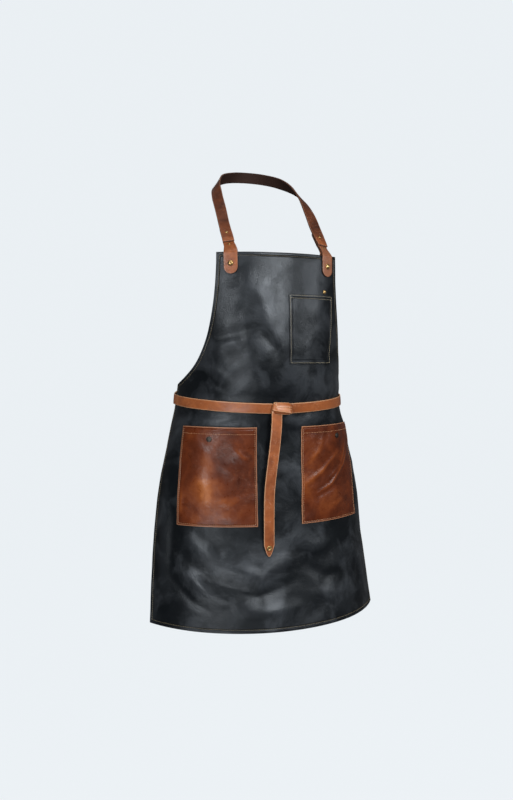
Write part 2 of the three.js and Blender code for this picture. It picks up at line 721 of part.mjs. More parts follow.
const knotTop = tieFront + KNOT.height / 2;
const knotFace = Math.min(facePoint(knotMiddle, knotTop).y, facePoint(knotMiddle, tieFront).y);
const knotMesh = new THREE.Mesh(
  roundedBar(KNOT.right - KNOT.left, KNOT.depth, KNOT.height, KNOT.round),
);
knotMesh.position.set(KNOT.left, knotFace - FRONT_GAP - GAP - KNOT.depth / 2, tieFront);
pieces.push(["waist_knot", knotMesh, TIE_LEATHER]);

// The free end, which hangs from the knot and is cut to a point.
const tailHinge = new THREE.Vector3(
  TAIL.top,
  knotMesh.position.y,
  tieFront - KNOT.height / 2 - TAIL.hinge,
);
const TAIL_COUNT = 24;
const tailX = (drop) => TAIL.top - TAIL.lean * smooth(drop / TAIL.leanEnd);
const tailStations = Array.from({ length: TAIL_COUNT + 1 }, (_, k) => {
  const share = k / TAIL_COUNT;
  const drop = (1 - (1 - share) ** 1.5) * TAIL.length;
  const left = TAIL.length - drop;
  const half = mix(TAIL.tip / 2, TAIL.width / 2, Math.min(left / TAIL.point, 1) ** 0.7);
  const point = new THREE.Vector3(tailX(drop), tailHinge.y, tailHinge.z - GAP - drop);
  return { point, out: new THREE.Vector3(0, -1, 0), half };
}).reverse();
const eyeletDrop = TAIL.length - EYELET.rise;
const eyeletSeat = {
  point: new THREE.Vector3(tailX(eyeletDrop), tailHinge.y, tailHinge.z - GAP - eyeletDrop),
  out: new THREE.Vector3(0, -1, 0),
};
const tailHole = { seat: eyeletSeat, radius: EYELET.shank + HOLE_GAP, reach: 6 };
pieces.push([
  "waist_tail",
  new THREE.Mesh(drilled(band(tailStations, TIE_THICK), [tailHole])),
  TIE_LEATHER,
]);
// The eyelet's tube passes through the leather, and its washer sits behind.
const eyeletFace = TIE_THICK / 2 + GAP;
const eyeletBack = -TIE_THICK / 2 - GAP;
const eyelet = turned([
  [EYELET.hole, eyeletBack],
  [EYELET.shank, eyeletBack],
  [EYELET.shank, eyeletFace],
  [EYELET.radius, eyeletFace],
  [EYELET.radius * 0.85, eyeletFace + EYELET.lip * 0.8],
  [EYELET.radius * 0.6, eyeletFace + EYELET.lip],
  [EYELET.hole, eyeletFace + EYELET.lip * 0.5],
  [EYELET.hole, eyeletBack],
]);
const washer = turned([
  [EYELET.hole, eyeletBack - GAP - EYELET.washer],
  [EYELET.radius * 0.9, eyeletBack - GAP - EYELET.washer],
  [EYELET.radius * 0.9, eyeletBack - GAP],
  [EYELET.hole, eyeletBack - GAP],
  [EYELET.hole, eyeletBack - GAP - EYELET.washer],
]);
pieces.push(["tail_eyelet", seated(eyelet, eyeletSeat), BRASS]);
pieces.push(["tail_washer", seated(washer, eyeletSeat), BRASS]);

// ---- The panel ----------------------------------------------------------------------------------
// Rows are closer in the bib, where the armholes bend.
const PANEL_COLUMNS = 32;
const SKIRT_ROWS = 20;
const BIB_ROWS = 13;
const panelHeight = (j) =>
  j <= SKIRT_ROWS
    ? (SKIRT_LENGTH * j) / SKIRT_ROWS
    : SKIRT_LENGTH + BIB_LENGTH * ((j - SKIRT_ROWS) / BIB_ROWS) ** 1.35;
const panelBody = slab(PANEL_COLUMNS, SKIRT_ROWS + BIB_ROWS, (i, j, outer) => {
  const z = panelHeight(j);
  const s = halfWidth(z) * mix(-1, 1, i / PANEL_COLUMNS);
  return seatAt(s, z, outer ? 0 : -PANEL_THICK).point;
});
pieces.push(["apron_panel", new THREE.Mesh(drilled(panelBody, panelHoles)), BLACK_LEATHER]);

// ---- Assembly -----------------------------------------------------------------------------------
const apron = new THREE.Group();
const worn = new THREE.Group();
worn.position.copy(neckRest).negate();
for (const [name, mesh, material] of pieces) {
  mesh.name = name;
  mesh.material = material;
  worn.add(mesh);
}
apron.add(worn);

export default apron;
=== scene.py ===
import math

import bmesh
import bpy
import numpy as np
from mathutils import Matrix, Vector, noise


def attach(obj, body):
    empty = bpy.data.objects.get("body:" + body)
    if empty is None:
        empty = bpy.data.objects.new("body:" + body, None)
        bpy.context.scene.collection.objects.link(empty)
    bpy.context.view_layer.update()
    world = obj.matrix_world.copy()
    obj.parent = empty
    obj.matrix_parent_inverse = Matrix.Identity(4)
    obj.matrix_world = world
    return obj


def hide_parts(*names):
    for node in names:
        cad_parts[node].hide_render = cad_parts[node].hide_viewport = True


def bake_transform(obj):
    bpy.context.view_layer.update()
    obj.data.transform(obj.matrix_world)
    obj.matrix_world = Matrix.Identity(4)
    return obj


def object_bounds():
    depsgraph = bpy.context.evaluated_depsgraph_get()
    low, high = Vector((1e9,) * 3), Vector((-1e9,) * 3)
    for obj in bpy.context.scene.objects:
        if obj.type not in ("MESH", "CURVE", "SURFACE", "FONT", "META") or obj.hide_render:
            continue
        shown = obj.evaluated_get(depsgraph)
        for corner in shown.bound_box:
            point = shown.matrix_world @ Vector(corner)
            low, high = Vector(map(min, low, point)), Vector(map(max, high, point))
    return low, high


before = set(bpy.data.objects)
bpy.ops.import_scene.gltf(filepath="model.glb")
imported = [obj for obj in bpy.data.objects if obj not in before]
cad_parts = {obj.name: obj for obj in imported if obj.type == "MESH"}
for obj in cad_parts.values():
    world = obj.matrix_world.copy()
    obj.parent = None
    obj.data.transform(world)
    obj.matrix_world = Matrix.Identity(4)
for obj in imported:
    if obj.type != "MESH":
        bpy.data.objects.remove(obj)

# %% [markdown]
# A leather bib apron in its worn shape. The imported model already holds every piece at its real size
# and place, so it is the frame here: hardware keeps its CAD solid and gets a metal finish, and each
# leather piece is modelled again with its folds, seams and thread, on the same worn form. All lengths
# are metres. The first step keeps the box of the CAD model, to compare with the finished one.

cad_low, cad_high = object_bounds()
bpy.context.scene.view_settings.view_transform = "Standard"
print("CAD box", [round(x, 3) for x in cad_low], [round(x, 3) for x in cad_high])

# %% [markdown]
# A maker thinks of the apron from its hem up, so pieces are worked out with the hem at z = 0. The
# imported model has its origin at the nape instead, where the neck strap rests. One vector goes between
# the two.

# %% The maker's frame
NAPE = np.array((0.0, 0.12723, 1.00897))  # the nape, measured from the hem's middle


def from_hem(point):
    """A point measured from the hem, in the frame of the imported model."""
    return np.asarray(point, float) - NAPE


print("hem at", round(float(from_hem((0, 0, 0))[2]), 3), "top strap at", round(cad_high[2], 3))

# %% [markdown]
# The camera stands a little to the wearer's right, just above the waist, at a normal portrait
# distance. A target on the apron gives its direction, worked out once from the two points.

# %% Camera
def add_object(name, data):
    made = bpy.data.objects.new(name, data)
    bpy.context.scene.collection.objects.link(made)
    return made


CAMERA_PLACE = from_hem((-0.5639, -1.7011, 0.5742))
CAMERA_TARGET = from_hem((-0.01405, 0.01041, 0.4828))
camera_data = bpy.data.cameras.new("portrait_camera")
camera_data.lens = 35.49
camera_data.sensor_width = 36
camera = add_object("portrait_camera", camera_data)
camera.location = CAMERA_PLACE
sight = Vector(CAMERA_TARGET - CAMERA_PLACE)
camera.rotation_euler = sight.to_track_quat("-Z", "Y").to_euler()
bpy.context.scene.camera = camera
print("camera looks down by", round(math.degrees(math.asin(-sight.z / sight.length)), 1), "degrees")

# %% [markdown]
# Shader maths reads best as plain expressions. `Value` wraps one socket, and each operator adds one
# Math node, so `1 - mask * 0.5` builds its own nodes. `Finish` holds a material. Its method `node`
# adds a node from its type, its settings and its inputs, and the others name the ones used most.

# %% Expressions that build nodes
class Value:
    """A node's output that can be used in arithmetic."""

    def __init__(self, finish, socket):
        self.finish, self.socket = finish, socket

    def math(self, operation, first, second=0.0, clamp=False):
        settings = {"operation": operation, "use_clamp": clamp}
        return self.finish.node("ShaderNodeMath", settings, {0: first, 1: second})

    def __add__(self, other):
        return self.math("ADD", self, other)

    def __sub__(self, other):
        return self.math("SUBTRACT", self, other)

    def __rsub__(self, other):
        return self.math("SUBTRACT", other, self)

    def __mul__(self, other):
        return self.math("MULTIPLY", self, other)

    def __truediv__(self, other):
        return self.math("DIVIDE", self, other)

    __radd__ = __add__
    __rmul__ = __mul__

    def clamped(self):
        return self.math("ADD", self, 0.0, clamp=True)

    def absolute(self):
        return self.math("ABSOLUTE", self)

    def exponential(self):
        return self.math("EXPONENT", self)


class Finish:
    """A material under construction."""

    def __init__(self, name, **constants):
        self.material = bpy.data.materials.new(name)
        self.material.use_nodes = True
        self.tree = self.material.node_tree
        self.surface = self.tree.nodes["Principled BSDF"]
        for socket, value in constants.items():
            self.surface.inputs[socket.replace("_", " ")].default_value = value

    def node(self, kind, settings=None, inputs=None, output=0):
        made = self.tree.nodes.new(kind)
        for key, value in (settings or {}).items():
            if key == "stops":
                ramp = made.color_ramp
                while len(ramp.elements) < len(value):
                    ramp.elements.new(0.5)
                for element, (place, colour) in zip(ramp.elements, value):
                    element.position, element.color = place, (*colour, 1)
            else:
                setattr(made, key, value)
        for key, value in (inputs or {}).items():
            self.feed(made.inputs[key], value)
        return Value(self, made.outputs[output])

    def feed(self, socket, value):
        if isinstance(value, Value):
            self.tree.links.new(value.socket, socket)
        else:
            socket.default_value = value

    def place(self):
        return self.node("ShaderNodeTexCoord", output="Object")

    def attribute(self, name):
        return self.node("ShaderNodeAttribute", {"attribute_name": name}, output="Fac")

    def clouds(self, scale, detail=3.0, roughness=0.55, distortion=0.0, where=None):
        values = {
            "Vector": where or self.place(),
            "Scale": scale,
            "Detail": detail,
            "Roughness": roughness,
            "Distortion": distortion,
        }
        return self.node("ShaderNodeTexNoise", None, values, output="Fac")

    def pebbles(self, scale):
        settings = {"feature": "SMOOTH_F1"}
        values = {"Vector": self.place(), "Scale": scale}
        return self.node("ShaderNodeTexVoronoi", settings, values, output="Distance")

    def steps(self, value, low, high):
        """0 below low, 1 above high, with a smooth change between."""
        settings = {"interpolation_type": "SMOOTHSTEP"}
        values = {"Value": value, "From Min": low, "From Max": high}
        return self.node("ShaderNodeMapRange", settings, values)

    def blend(self, share, first, second):
        """The first colour where share is 0, the second where it is 1."""
        made = self.tree.nodes.new("ShaderNodeMix")
        made.data_type = "RGBA"
        for index, value in ((0, share), (6, first), (7, second)):
            if isinstance(value, tuple):
                value = (*value, 1)
            self.feed(made.inputs[index], value)
        return Value(self, made.outputs[2])

    def stretched(self, size, turn=(0, 0, 0)):
        """The object's coordinates scaled by size and turned, for streaks."""
        values = {"Vector": self.place(), "Scale": size, "Rotation": turn}
        return self.node("ShaderNodeMapping", None, values)

    def bumps(self, *layers):
        """Bumps laid over one another, each a height, its distance in metres and its strength."""
        normal = None
        for height, distance, strength in layers:
            values = {"Height": height, "Distance": distance, "Strength": strength}
            if normal is not None:
                values["Normal"] = normal
            normal = self.node("ShaderNodeBump", None, values)
        return normal

    def wear(self, **sockets):
        for socket, value in sockets.items():
            self.feed(self.surface.inputs[socket.replace("_", " ")], value)
        return self.material


# %% [markdown]
# The studio: a pale floor that sweeps up into a wall all round, so that no horizon shows from any
# side, and large soft lamps. The sweep is a profile spun about the upright axis. It is lit by its own
# glow, and it stays out of the reflections, because black leather would turn grey in them.

# %% Floor and sweep
FLOOR_DROP = 0.75  # the apron hangs this far above the floor
SWEEP_RADIUS = 7.0


def mesh_from(bm, name):
    mesh = bpy.data.meshes.new(name)
    bm.to_mesh(mesh)
    bm.free()
    mesh.polygons.foreach_set("use_smooth", [True] * len(mesh.polygons))
    return mesh


floor_height = cad_low[2] - FLOOR_DROP
bm = bmesh.new()
profile = [(0, 0), (4.5, 0), (5.6, 0.25), (6.4, 0.9), (SWEEP_RADIUS, 2.2), (SWEEP_RADIUS, 9)]
corners = [bm.verts.new((x, 0, floor_height + z)) for x, z in profile]
edges = [bm.edges.new(pair) for pair in zip(corners, corners[1:])]
bmesh.ops.spin(
    bm, geom=corners + edges, axis=(0, 0, 1), cent=(0, 0, 0), angle=math.tau, steps=64, use_merge=True
)
bmesh.ops.remove_doubles(bm, verts=bm.verts, dist=1e-5)
bmesh.ops.recalc_face_normals(bm, faces=bm.faces)
sweep = add_object("studio_sweep", mesh_from(bm, "studio_sweep"))
pale = Finish("pale_paper", Base_Color=(0.03, 0.03, 0.03, 1), Roughness=0.9, Specular_IOR_Level=0.1)
sweep.data.materials.append(pale.wear(Emission_Color=(0.82, 0.862, 0.894, 1), Emission_Strength=1.0))
sweep.visible_diffuse = False
sweep.visible_glossy = False
print("floor at", round(floor_height, 3))

# %% [markdown]
# Six soft lamps. The bib looks a little downwards, so a low lamp at the wearer's right gives its lower
# half a sheen, and a narrow lamp above that one draws the streak down the right pocket. The lamp in
# front stands higher and lights the skirt's folds.

# %% Lamps
CENTRE = from_hem((0, -0.05, 0.45))


def lamp(name, azimuth, rise, distance, size, power):
    """A soft rectangular lamp, at an azimuth round the apron (0 is straight in front)."""
    data = bpy.data.lights.new(name, "AREA")
    data.shape = "RECTANGLE"
    data.size, data.size_y = size
    data.energy = power
    turn = math.radians(azimuth)
    made = add_object(name, data)
    offset = Vector((math.sin(turn), -math.cos(turn), rise)) * distance
    made.location = Vector(CENTRE) + offset
    made.rotation_euler = (-offset).to_track_quat("-Z", "Y").to_euler()
    made.visible_camera = False


lamp("front_softbox", 12, 0.40, 2.6, (1.0, 0.8), 48)
lamp("left_softbox", -46, 0.20, 2.5, (0.35, 0.8), 20)
lamp("right_softbox", 50, 0.26, 2.6, (0.4, 0.8), 13)
lamp("floor_bounce", -36, -0.42, 2.4, (1.3, 0.45), 17)
lamp("top_softbox", -10, 2.2, 1.2, (1.8, 1.2), 20)
lamp("back_softbox", 165, 0.8, 2.6, (1.4, 1.4), 22)
world = bpy.data.worlds.new("studio_air")
world.use_nodes = True
air = world.node_tree.nodes["Background"].inputs
air["Color"].default_value = (0.95, 0.97, 1.0, 1)
air["Strength"].default_value = 0.10
bpy.context.scene.world = world

# %% [markdown]
# The worn form. Leather does not stretch here, so the panel is one bent sheet: a place on it is
# `s`, the distance along the leather from the middle line, and `z`, the height. A few level sections
# of the body give how far forward the sheet lies, how tightly it bends in front and how far it has
# turned by the sides. Smooth curves join the sections, and a short sum walks along the leather.

# %% Sizes of the leather
SKIRT = 0.520  # hem to the foot of the armholes
BIB = 0.280
TOP = SKIRT + BIB
HEM_HALF, WAIST_HALF, BIB_HALF = 0.318, 0.2775, 0.1415
PANEL_THICK, POCKET_THICK, LEAF_THICK, STRAP_THICK, TIE_THICK = 0.0022, 0.0018, 0.0024, 0.0034, 0.003
ARMHOLE_BEND, ARMHOLE_SHARPNESS = 1.365, 3.87  # how soon the armhole runs in, and how tightly
WRAP_REACH = 0.25  # the sections' turn is measured this far along the leather
SECTIONS = np.array(
    [  # height, front, radius of the bend, degrees turned
        (0, 0.157, 0.333, 45.7),
        (0.31 * SKIRT, 0.1226, 0.345, 49.7),
        (0.58 * SKIRT, 0.110, 0.370, 58.3),
        (0.81 * SKIRT, 0.108, 0.303, 73.5),
        (0.905 * SKIRT, 0.1157, 0.227, 75.8),
        (SKIRT + 0.14 * BIB, 0.1365, 0.192, 75.2),
        (SKIRT + 0.57 * BIB, 0.1343, 0.250, 82.3),
        (TOP, 0.1249, 0.333, 87.8),
    ]
)
HEIGHTS, FRONTS = SECTIONS[:, 0], -SECTIONS[:, 1]
BENDS, TURNS = 1 / SECTIONS[:, 2], np.radians(SECTIONS[:, 3])


def along(values, z):
    """A smooth curve through one value of the sections, at the heights z."""
    slopes = np.empty(len(values))
    slopes[1:-1] = (values[2:] - values[:-2]) / (HEIGHTS[2:] - HEIGHTS[:-2])
    slopes[0] = (values[1] - values[0]) / (HEIGHTS[1] - HEIGHTS[0])
    slopes[-1] = (values[-1] - values[-2]) / (HEIGHTS[-1] - HEIGHTS[-2])
    k = np.clip(np.searchsorted(HEIGHTS, z) - 1, 0, len(HEIGHTS) - 2)
    span = HEIGHTS[k + 1] - HEIGHTS[k]
    t = (z - HEIGHTS[k]) / span
    return (
        (2 * t**3 - 3 * t**2 + 1) * values[k]
        + (t**3 - 2 * t**2 + t) * span * slopes[k]
        + (3 * t**2 - 2 * t**3) * values[k + 1]
        + (t**3 - t**2) * span * slopes[k + 1]
    )


def face_point(s, z):
    """Points of the panel's outer face, one row of x, y, z for each s and z."""
    s, z = np.broadcast_arrays(np.atleast_1d(s).astype(float), np.atleast_1d(z).astype(float))
    bend = along(BENDS, z)
    twist = (along(TURNS, z) - bend * WRAP_REACH) / WRAP_REACH**3
    steps = 24
    weights = np.where(np.arange(steps + 1) % 2, 4.0, 2.0)
    weights[[0, -1]] = 1
    reach = s[:, None] * np.arange(steps + 1) / steps
    heading = bend[:, None] * reach + twist[:, None] * reach**3
    stride = s / steps / 3
    x = (np.cos(heading) * weights).sum(axis=1) * stride
    y = (np.sin(heading) * weights).sum(axis=1) * stride
    return np.stack([x, along(FRONTS, z) + y, z], axis=1)


def unit(vectors):
    return vectors / np.linalg.norm(vectors, axis=-1, keepdims=True)


def walked(points):
    """How far each point lies along the line through all of them."""
    return np.concatenate([[0], np.cumsum(np.linalg.norm(np.diff(points, axis=0), axis=1))])


def face_normal(s, z):
    """The way the panel's outer face looks."""
    nudge = 0.0005
    across = face_point(np.add(s, nudge), z) - face_point(np.subtract(s, nudge), z)
    low, high = np.clip(np.subtract(z, nudge), 0, TOP), np.clip(np.add(z, nudge), 0, TOP)
    upward = face_point(s, high) - face_point(s, low)
    return unit(np.cross(across, upward))


def half_width(z):
    """Half of the panel's width: straight sides on the skirt, curved armholes on the bib."""
    z = np.asarray(z, float)
    t = np.clip((z - SKIRT) / BIB, 0, 1)
    armhole = BIB_HALF + (WAIST_HALF - BIB_HALF) * (1 - t) ** ARMHOLE_BEND / (1 + ARMHOLE_SHARPNESS * t)
    return np.where(z <= SKIRT, HEM_HALF + (WAIST_HALF - HEM_HALF) * z / SKIRT, armhole)


def edge_slope(z):
    """How fast the panel's half width changes with height."""
    return (half_width(z + 0.001) - half_width(z - 0.001)) / 0.002


def smooth(x):
    t = np.clip(x, 0, 1)
    return t * t * (3 - 2 * t)


print("panel reaches", face_point(0, 0).round(3), "to", face_point(0, TOP).round(3))

# %% [markdown]
# Folds. Worn leather keeps soft ridges where it is pulled and dents where it is pressed. Each fold is
# a short line on the leather with a width and a height, and its ridge fades out from that line. Near
# a rivet, a snap or the waist strap the leather is held flat, so every fold dies away there.

# %% Folds of the worn leather
HIP = {"inner": 0.0504, "width": 0.169, "splay": 0.0114, "mouth": SKIRT - 0.0896, "depth": 0.2124}
SNAP_ACROSS, SNAP_DROP = 0.1005, 0.0257  # from a hip pocket's inner side and from its mouth
CHEST = {"inner": 0.0116, "width": 0.1166, "splay": 0.0, "mouth": TOP - 0.087, "depth": 0.1475}
SNAP_PLACE = (HIP["inner"] + SNAP_ACROSS, HIP["mouth"] - SNAP_DROP)
TAB_MIDDLE = BIB_HALF - 0.0311
TAB_FOOT, STUD_DROP = 0.046, 0.024  # below the bib's top edge
TIE_SIDE, TIE_FRONT = SKIRT - 0.034, SKIRT - 0.049

FOLDS = [  # points along the fold, width, height
    ([(-0.085, 0.750), (-0.045, 0.690), (0.000, 0.612)], 0.024, 0.0038),  # over the breastbone
    ([(-0.165, 0.600), (-0.140, 0.555), (-0.105, 0.505)], 0.030, 0.0034),
    ([(-0.052, 0.640), (-0.020, 0.600), (-0.012, 0.560)], 0.012, -0.0022),
    ([(0.02, 0.775), (-0.02, 0.765), (-0.06, 0.770)], 0.022, 0.0016),
    ([(-0.205, 0.590), (-0.150, 0.596), (-0.085, 0.618)], 0.013, 0.0028),  # from the right armhole
    ([(-0.190, 0.628), (-0.130, 0.622), (-0.075, 0.640)], 0.014, -0.0024),
    ([(-0.195, 0.566), (-0.150, 0.552), (-0.112, 0.530)], 0.008, 0.0020),
    ([(-0.200, 0.545), (-0.160, 0.532), (-0.118, 0.505)], 0.007, -0.0018),
    ([(-0.175, 0.518), (-0.140, 0.510), (-0.105, 0.500)], 0.007, 0.0016),
    ([(0.115, 0.545), (0.160, 0.560), (0.205, 0.575)], 0.012, 0.0022),  # from the left armhole
    ([(0.030, 0.535), (0.075, 0.520), (0.120, 0.515)], 0.014, 0.0020),
    ([(0.150, 0.640), (0.146, 0.700), (0.140, 0.760)], 0.010, -0.0012),
    ([(-0.205, 0.452), (-0.150, 0.440), (-0.090, 0.448)], 0.012, 0.0026),  # under the tie
    ([(0.026, 0.446), (0.055, 0.438), (0.090, 0.450)], 0.012, 0.0028),
    ([(-0.200, 0.190), (-0.140, 0.140), (-0.050, 0.112), (0.010, 0.140)], 0.016, 0.0042),  # swags
    ([(-0.215, 0.150), (-0.140, 0.096), (-0.055, 0.075), (0.030, 0.100)], 0.013, -0.0034),
    ([(-0.225, 0.122), (-0.160, 0.078), (-0.090, 0.060)], 0.011, 0.0034),
    ([(-0.245, 0.100), (-0.200, 0.060), (-0.150, 0.038)], 0.010, -0.0028),
    ([(-0.100, 0.046), (-0.040, 0.040), (0.030, 0.048)], 0.012, 0.0026),
    ([(0.035, 0.190), (0.080, 0.165), (0.140, 0.175)], 0.016, 0.0024),
    ([(0.060, 0.130), (0.110, 0.098), (0.180, 0.105)], 0.014, -0.0026),
    ([(0.080, 0.070), (0.140, 0.060), (0.200, 0.085)], 0.015, 0.0026),
    ([(0.205, 0.150), (0.235, 0.110), (0.255, 0.050)], 0.013, 0.0022),
    ([(-0.262, 0.330), (-0.268, 0.220), (-0.278, 0.090)], 0.012, 0.0030),  # down the right side
    ([(-0.240, 0.300), (-0.244, 0.200), (-0.252, 0.110)], 0.010, -0.0024),
    ([(0.262, 0.330), (0.268, 0.220), (0.276, 0.090)], 0.012, 0.0026),
]
TAB_DROPS = (0.0, STUD_DROP, TAB_FOOT)
HELD = [  # places where snaps, tabs and the chest rivet hold the leather flat, with a reach
    *[(sign * SNAP_PLACE[0], SNAP_PLACE[1], 0.022) for sign in (-1, 1)],
    *[(sign * TAB_MIDDLE, TOP - drop, 0.026) for sign in (-1, 1) for drop in TAB_DROPS],
    (CHEST["inner"] + CHEST["width"] * 0.79, CHEST["mouth"] + 0.0075, 0.014),
]


def distance_to_line(s, z, line):
    """Distance from each place to a line of points, and the share of the way along it."""
    best = np.full(s.shape, np.inf)
    share = np.zeros(s.shape)
    for k, (a, b) in enumerate(zip(line, line[1:])):
        run = np.subtract(b, a)
        t = np.clip(((s - a[0]) * run[0] + (z - a[1]) * run[1]) / (run @ run), 0, 1)
        gap = np.hypot(s - a[0] - t * run[0], z - a[1] - t * run[1])
        nearer = gap < best
        best = np.where(nearer, gap, best)
        share = np.where(nearer, (k + t) / (len(line) - 1), share)
    return best, share


def held_flat(s, z):
    """1 where the leather is held flat, 0 where it is free."""
    flat = np.exp(-(((z - (TIE_FRONT + TIE_SIDE) / 2) / 0.024) ** 4))
    for place_s, place_z, reach in HELD:
        gap = np.hypot(s - place_s, z - place_z)
        flat = np.maximum(flat, 1 - smooth((gap - reach * 0.5) / reach))
    return flat


def relief(s, z):
    """How far the folds lift the leather off the plain worn form."""
    lift = np.zeros(np.shape(s))
    for line, width, height in FOLDS:
        gap, share = distance_to_line(s, z, line)
        ends = 0.35 + 0.65 * np.sin(math.pi * np.clip(share, 0.05, 0.95))
        lift += height * ends * np.exp(-((gap / width) ** 2))
    for sway, size in ((9.0, 0.0028), (18.0, 0.0019), (37.0, 0.0008)):
        wave = [noise.noise(Vector((a * sway, b * sway, sway))) for a, b in zip(s, z)]
        lift += size * np.array(wave)
    edge_reach = np.minimum(half_width(z) - np.abs(s), np.minimum(z, TOP - z))
    return lift * (1 - held_flat(s, z)) * (0.35 + 0.65 * smooth(edge_reach / 0.05))


print("folds", len(FOLDS))

# %% [markdown]
# Every leather piece starts as a flat grid from `create_grid`, whose corners are then laid on the
# worn form, which is how a cut of leather is really shaped. The thickness comes last, from a Solidify
# modifier, and a small Bevel rounds the cut edges. Two attributes go with the mesh for its finish:
# how far each corner is from the cut edge, and how much the leather is pulled there, which also
# carries painted highlight on ridges and painted shade in dents.

# %% Laying leather on the form
def laid_leather(name, columns, rows, lay, thick, round_off=0.0004):
    """A grid laid by lay(u, v), which gives points, distance to the edge and pull at each corner; the
    pull also carries painted highlight and painted shade.
    """
    bm = bmesh.new()
    middle = Matrix.Translation((0.5, 0.5, 0))
    bmesh.ops.create_grid(bm, x_segments=columns, y_segments=rows, size=0.5, matrix=middle)
    flat = np.array([corner.co[:2] for corner in bm.verts])
    points, edge, pull = lay(flat[:, 0], flat[:, 1])
    for corner, point in zip(bm.verts, points):
        corner.co = from_hem(point)
    mesh = mesh_from(bm, name)
    # The pull is the leather's own pull-up lightening, and also painted highlight on ridges and painted
    # shade in dents.
    for key, values in (("edge", edge), ("pull", pull)):
        layer = mesh.attributes.new(key, "FLOAT", "POINT")
        layer.data.foreach_set("value", np.asarray(values, np.float32))
    made = add_object(name, mesh)
    wall = made.modifiers.new("thickness", "SOLIDIFY")
    wall.thickness, wall.offset = thick, -1
    wall.material_offset, wall.material_offset_rim = 2, 1
    rounding = made.modifiers.new("rounded_edges", "BEVEL")
    rounding.width, rounding.segments, rounding.limit_method = round_off, 2, "ANGLE"
    rounding.angle_limit = math.radians(50)
    return made


FINISHES = {}  # for each slot: the face, the cut edge and the flesh side


def dress(piece, slot):
    for finish in FINISHES[slot]:
        piece.data.materials.append(finish)


# %% [markdown]
# Black pull-up leather: dyed through and waxed. Its colour mixes broad clouds with the pull of the
# folds: nearly black in the valleys and a greyer sheen on the ridges, which is partly the real
# lightening where folds and handling have rubbed it, and partly painted shade in the dents and painted
# highlight on the ridges. The bump has pebbled grain at the scale of skin, fine broken creases over it,
# and the groove that the seam presses into the leather beside each edge.

# %% Black leather
SEAM_INSET, HIP_INSET, CHEST_INSET = 0.0075, 0.0042, 0.0026  # of a seam from its cut edge


def crease_lines(finish, scale, turn):
    """Thin broken lines, as leather shows where it has been bent often."""
    where = finish.stretched((1, 1, 2.6), turn)
    field = finish.clouds(scale, detail=4, distortion=1.2, where=where)
    return 1 - finish.steps((field - 0.5).absolute(), 0, 0.022)


def seam_groove(finish, inset, width):
    """1 in the groove that a seam presses into the leather, 0 away from it."""
    gap = (finish.attribute("edge") - inset) / width
    return (gap * gap * -1).exponential()


def pebbled_grain(finish, scale):
    return finish.pebbles(scale) + finish.clouds(900) * 0.4


black = Finish("black_pull_up_leather", Specular_IOR_Level=0.34, Specular_Tint=(0.86, 0.93, 1.0, 1))
rubbed = black.steps(black.clouds(15, detail=6, roughness=0.62, distortion=0.6), 0.42, 0.66)
stretched = black.stretched((1, 1, 0.45), (0.5, 0.4, 0))
streaks = black.steps(black.clouds(14, detail=5, where=stretched), 0.45, 0.8)
# Lighter on fold ridges, darker in dents: pull-up lightening, and also painted highlight and painted
# shade.
pulled_and_lit = black.steps(black.attribute("pull"), 0.1, 0.9)
tone = (rubbed * 0.55 + streaks * 0.3 + pulled_and_lit * 0.5 - 0.26).clamped()
dye = black.blend(tone, (0.0022, 0.0032, 0.0044), (0.041, 0.046, 0.053))
fine_lines = crease_lines(black, 26, (0.3, 0.9, 0.2)) * black.steps(black.clouds(11), 0.5, 0.68)
dye = black.blend(fine_lines * 0.1, dye, (0.08, 0.08, 0.085))
black_bump = black.bumps(
    (pebbled_grain(black, 620), 0.0005, 0.35),
    (fine_lines * -1, 0.0003, 0.15),
    (seam_groove(black, SEAM_INSET, 0.0013) * -1, 0.0012, 0.9),
    (black.clouds(45, detail=2, distortion=0.4), 0.0022, 0.22),
)
sheen = 0.24 + 0.24 * black.clouds(24, detail=4)
black_face = black.wear(Base_Color=dye, Roughness=sheen, Normal=black_bump)


def raw_leather(name, dark, light, roughness=0.75, fuzz=0.0004):
    """The cut edge or the flesh side of leather: matt fibres with no waxed face."""
    raw = Finish(name, Roughness=roughness, Specular_IOR_Level=0.2)
    fibres = raw.clouds(500, detail=5) * 0.6 + raw.clouds(40, detail=3) * 0.4
    return raw.wear(Base_Color=raw.blend(fibres, dark, light), Normal=raw.bumps((fibres, fuzz, 1.0)))


FINISHES["black_leather"] = (
    black_face,
    raw_leather("black_cut_edge", (0.010, 0.010, 0.011), (0.040, 0.038, 0.037), 0.6),
    raw_leather("black_flesh_side", (0.012, 0.012, 0.013), (0.050, 0.047, 0.045), 0.9, 0.0009),
)
print("black leather nodes", len(black.tree.nodes))

# %% [markdown]
# The panel: bib and skirt in one cut. The grid follows the cut's outline, so its side columns run
# down the armholes, and the folds lift it off the plain form.

# %% Apron panel
def pull_and_light_of(lift):
    """0 in a dent and 1 on a ridge. It darkens dents as painted shade and lightens ridges as painted
    highlight, besides the leather's own pull-up lightening.
    """
    return 0.45 + 0.5 * np.tanh(lift / 0.003)


def lay_panel(u, v):
    z = TOP * v
    s = half_width(z) * (2 * u - 1)
    lift = relief(s, z)
    points = face_point(s, z) + face_normal(s, z) * lift[:, None]
    side = (half_width(z) - np.abs(s)) / np.sqrt(1 + edge_slope(z) ** 2)
    # The last value is the pull: painted highlight on ridges and painted shade in dents, with the
    # pull-up lightening.
    return points, np.minimum(side, np.minimum(z, TOP - z)), pull_and_light_of(lift)


levels = np.linspace(0, TOP, 200)
panel_area = float(np.trapz(2 * half_width(levels), levels))
panel = laid_leather("panel_leather", 150, 205, lay_panel, PANEL_THICK, 0.0005)
dress(panel, "black_leather")
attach(panel, "apron")
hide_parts("apron_panel")
print("panel area", round(panel_area, 3), "m2 from", len(panel.data.vertices), "corners")
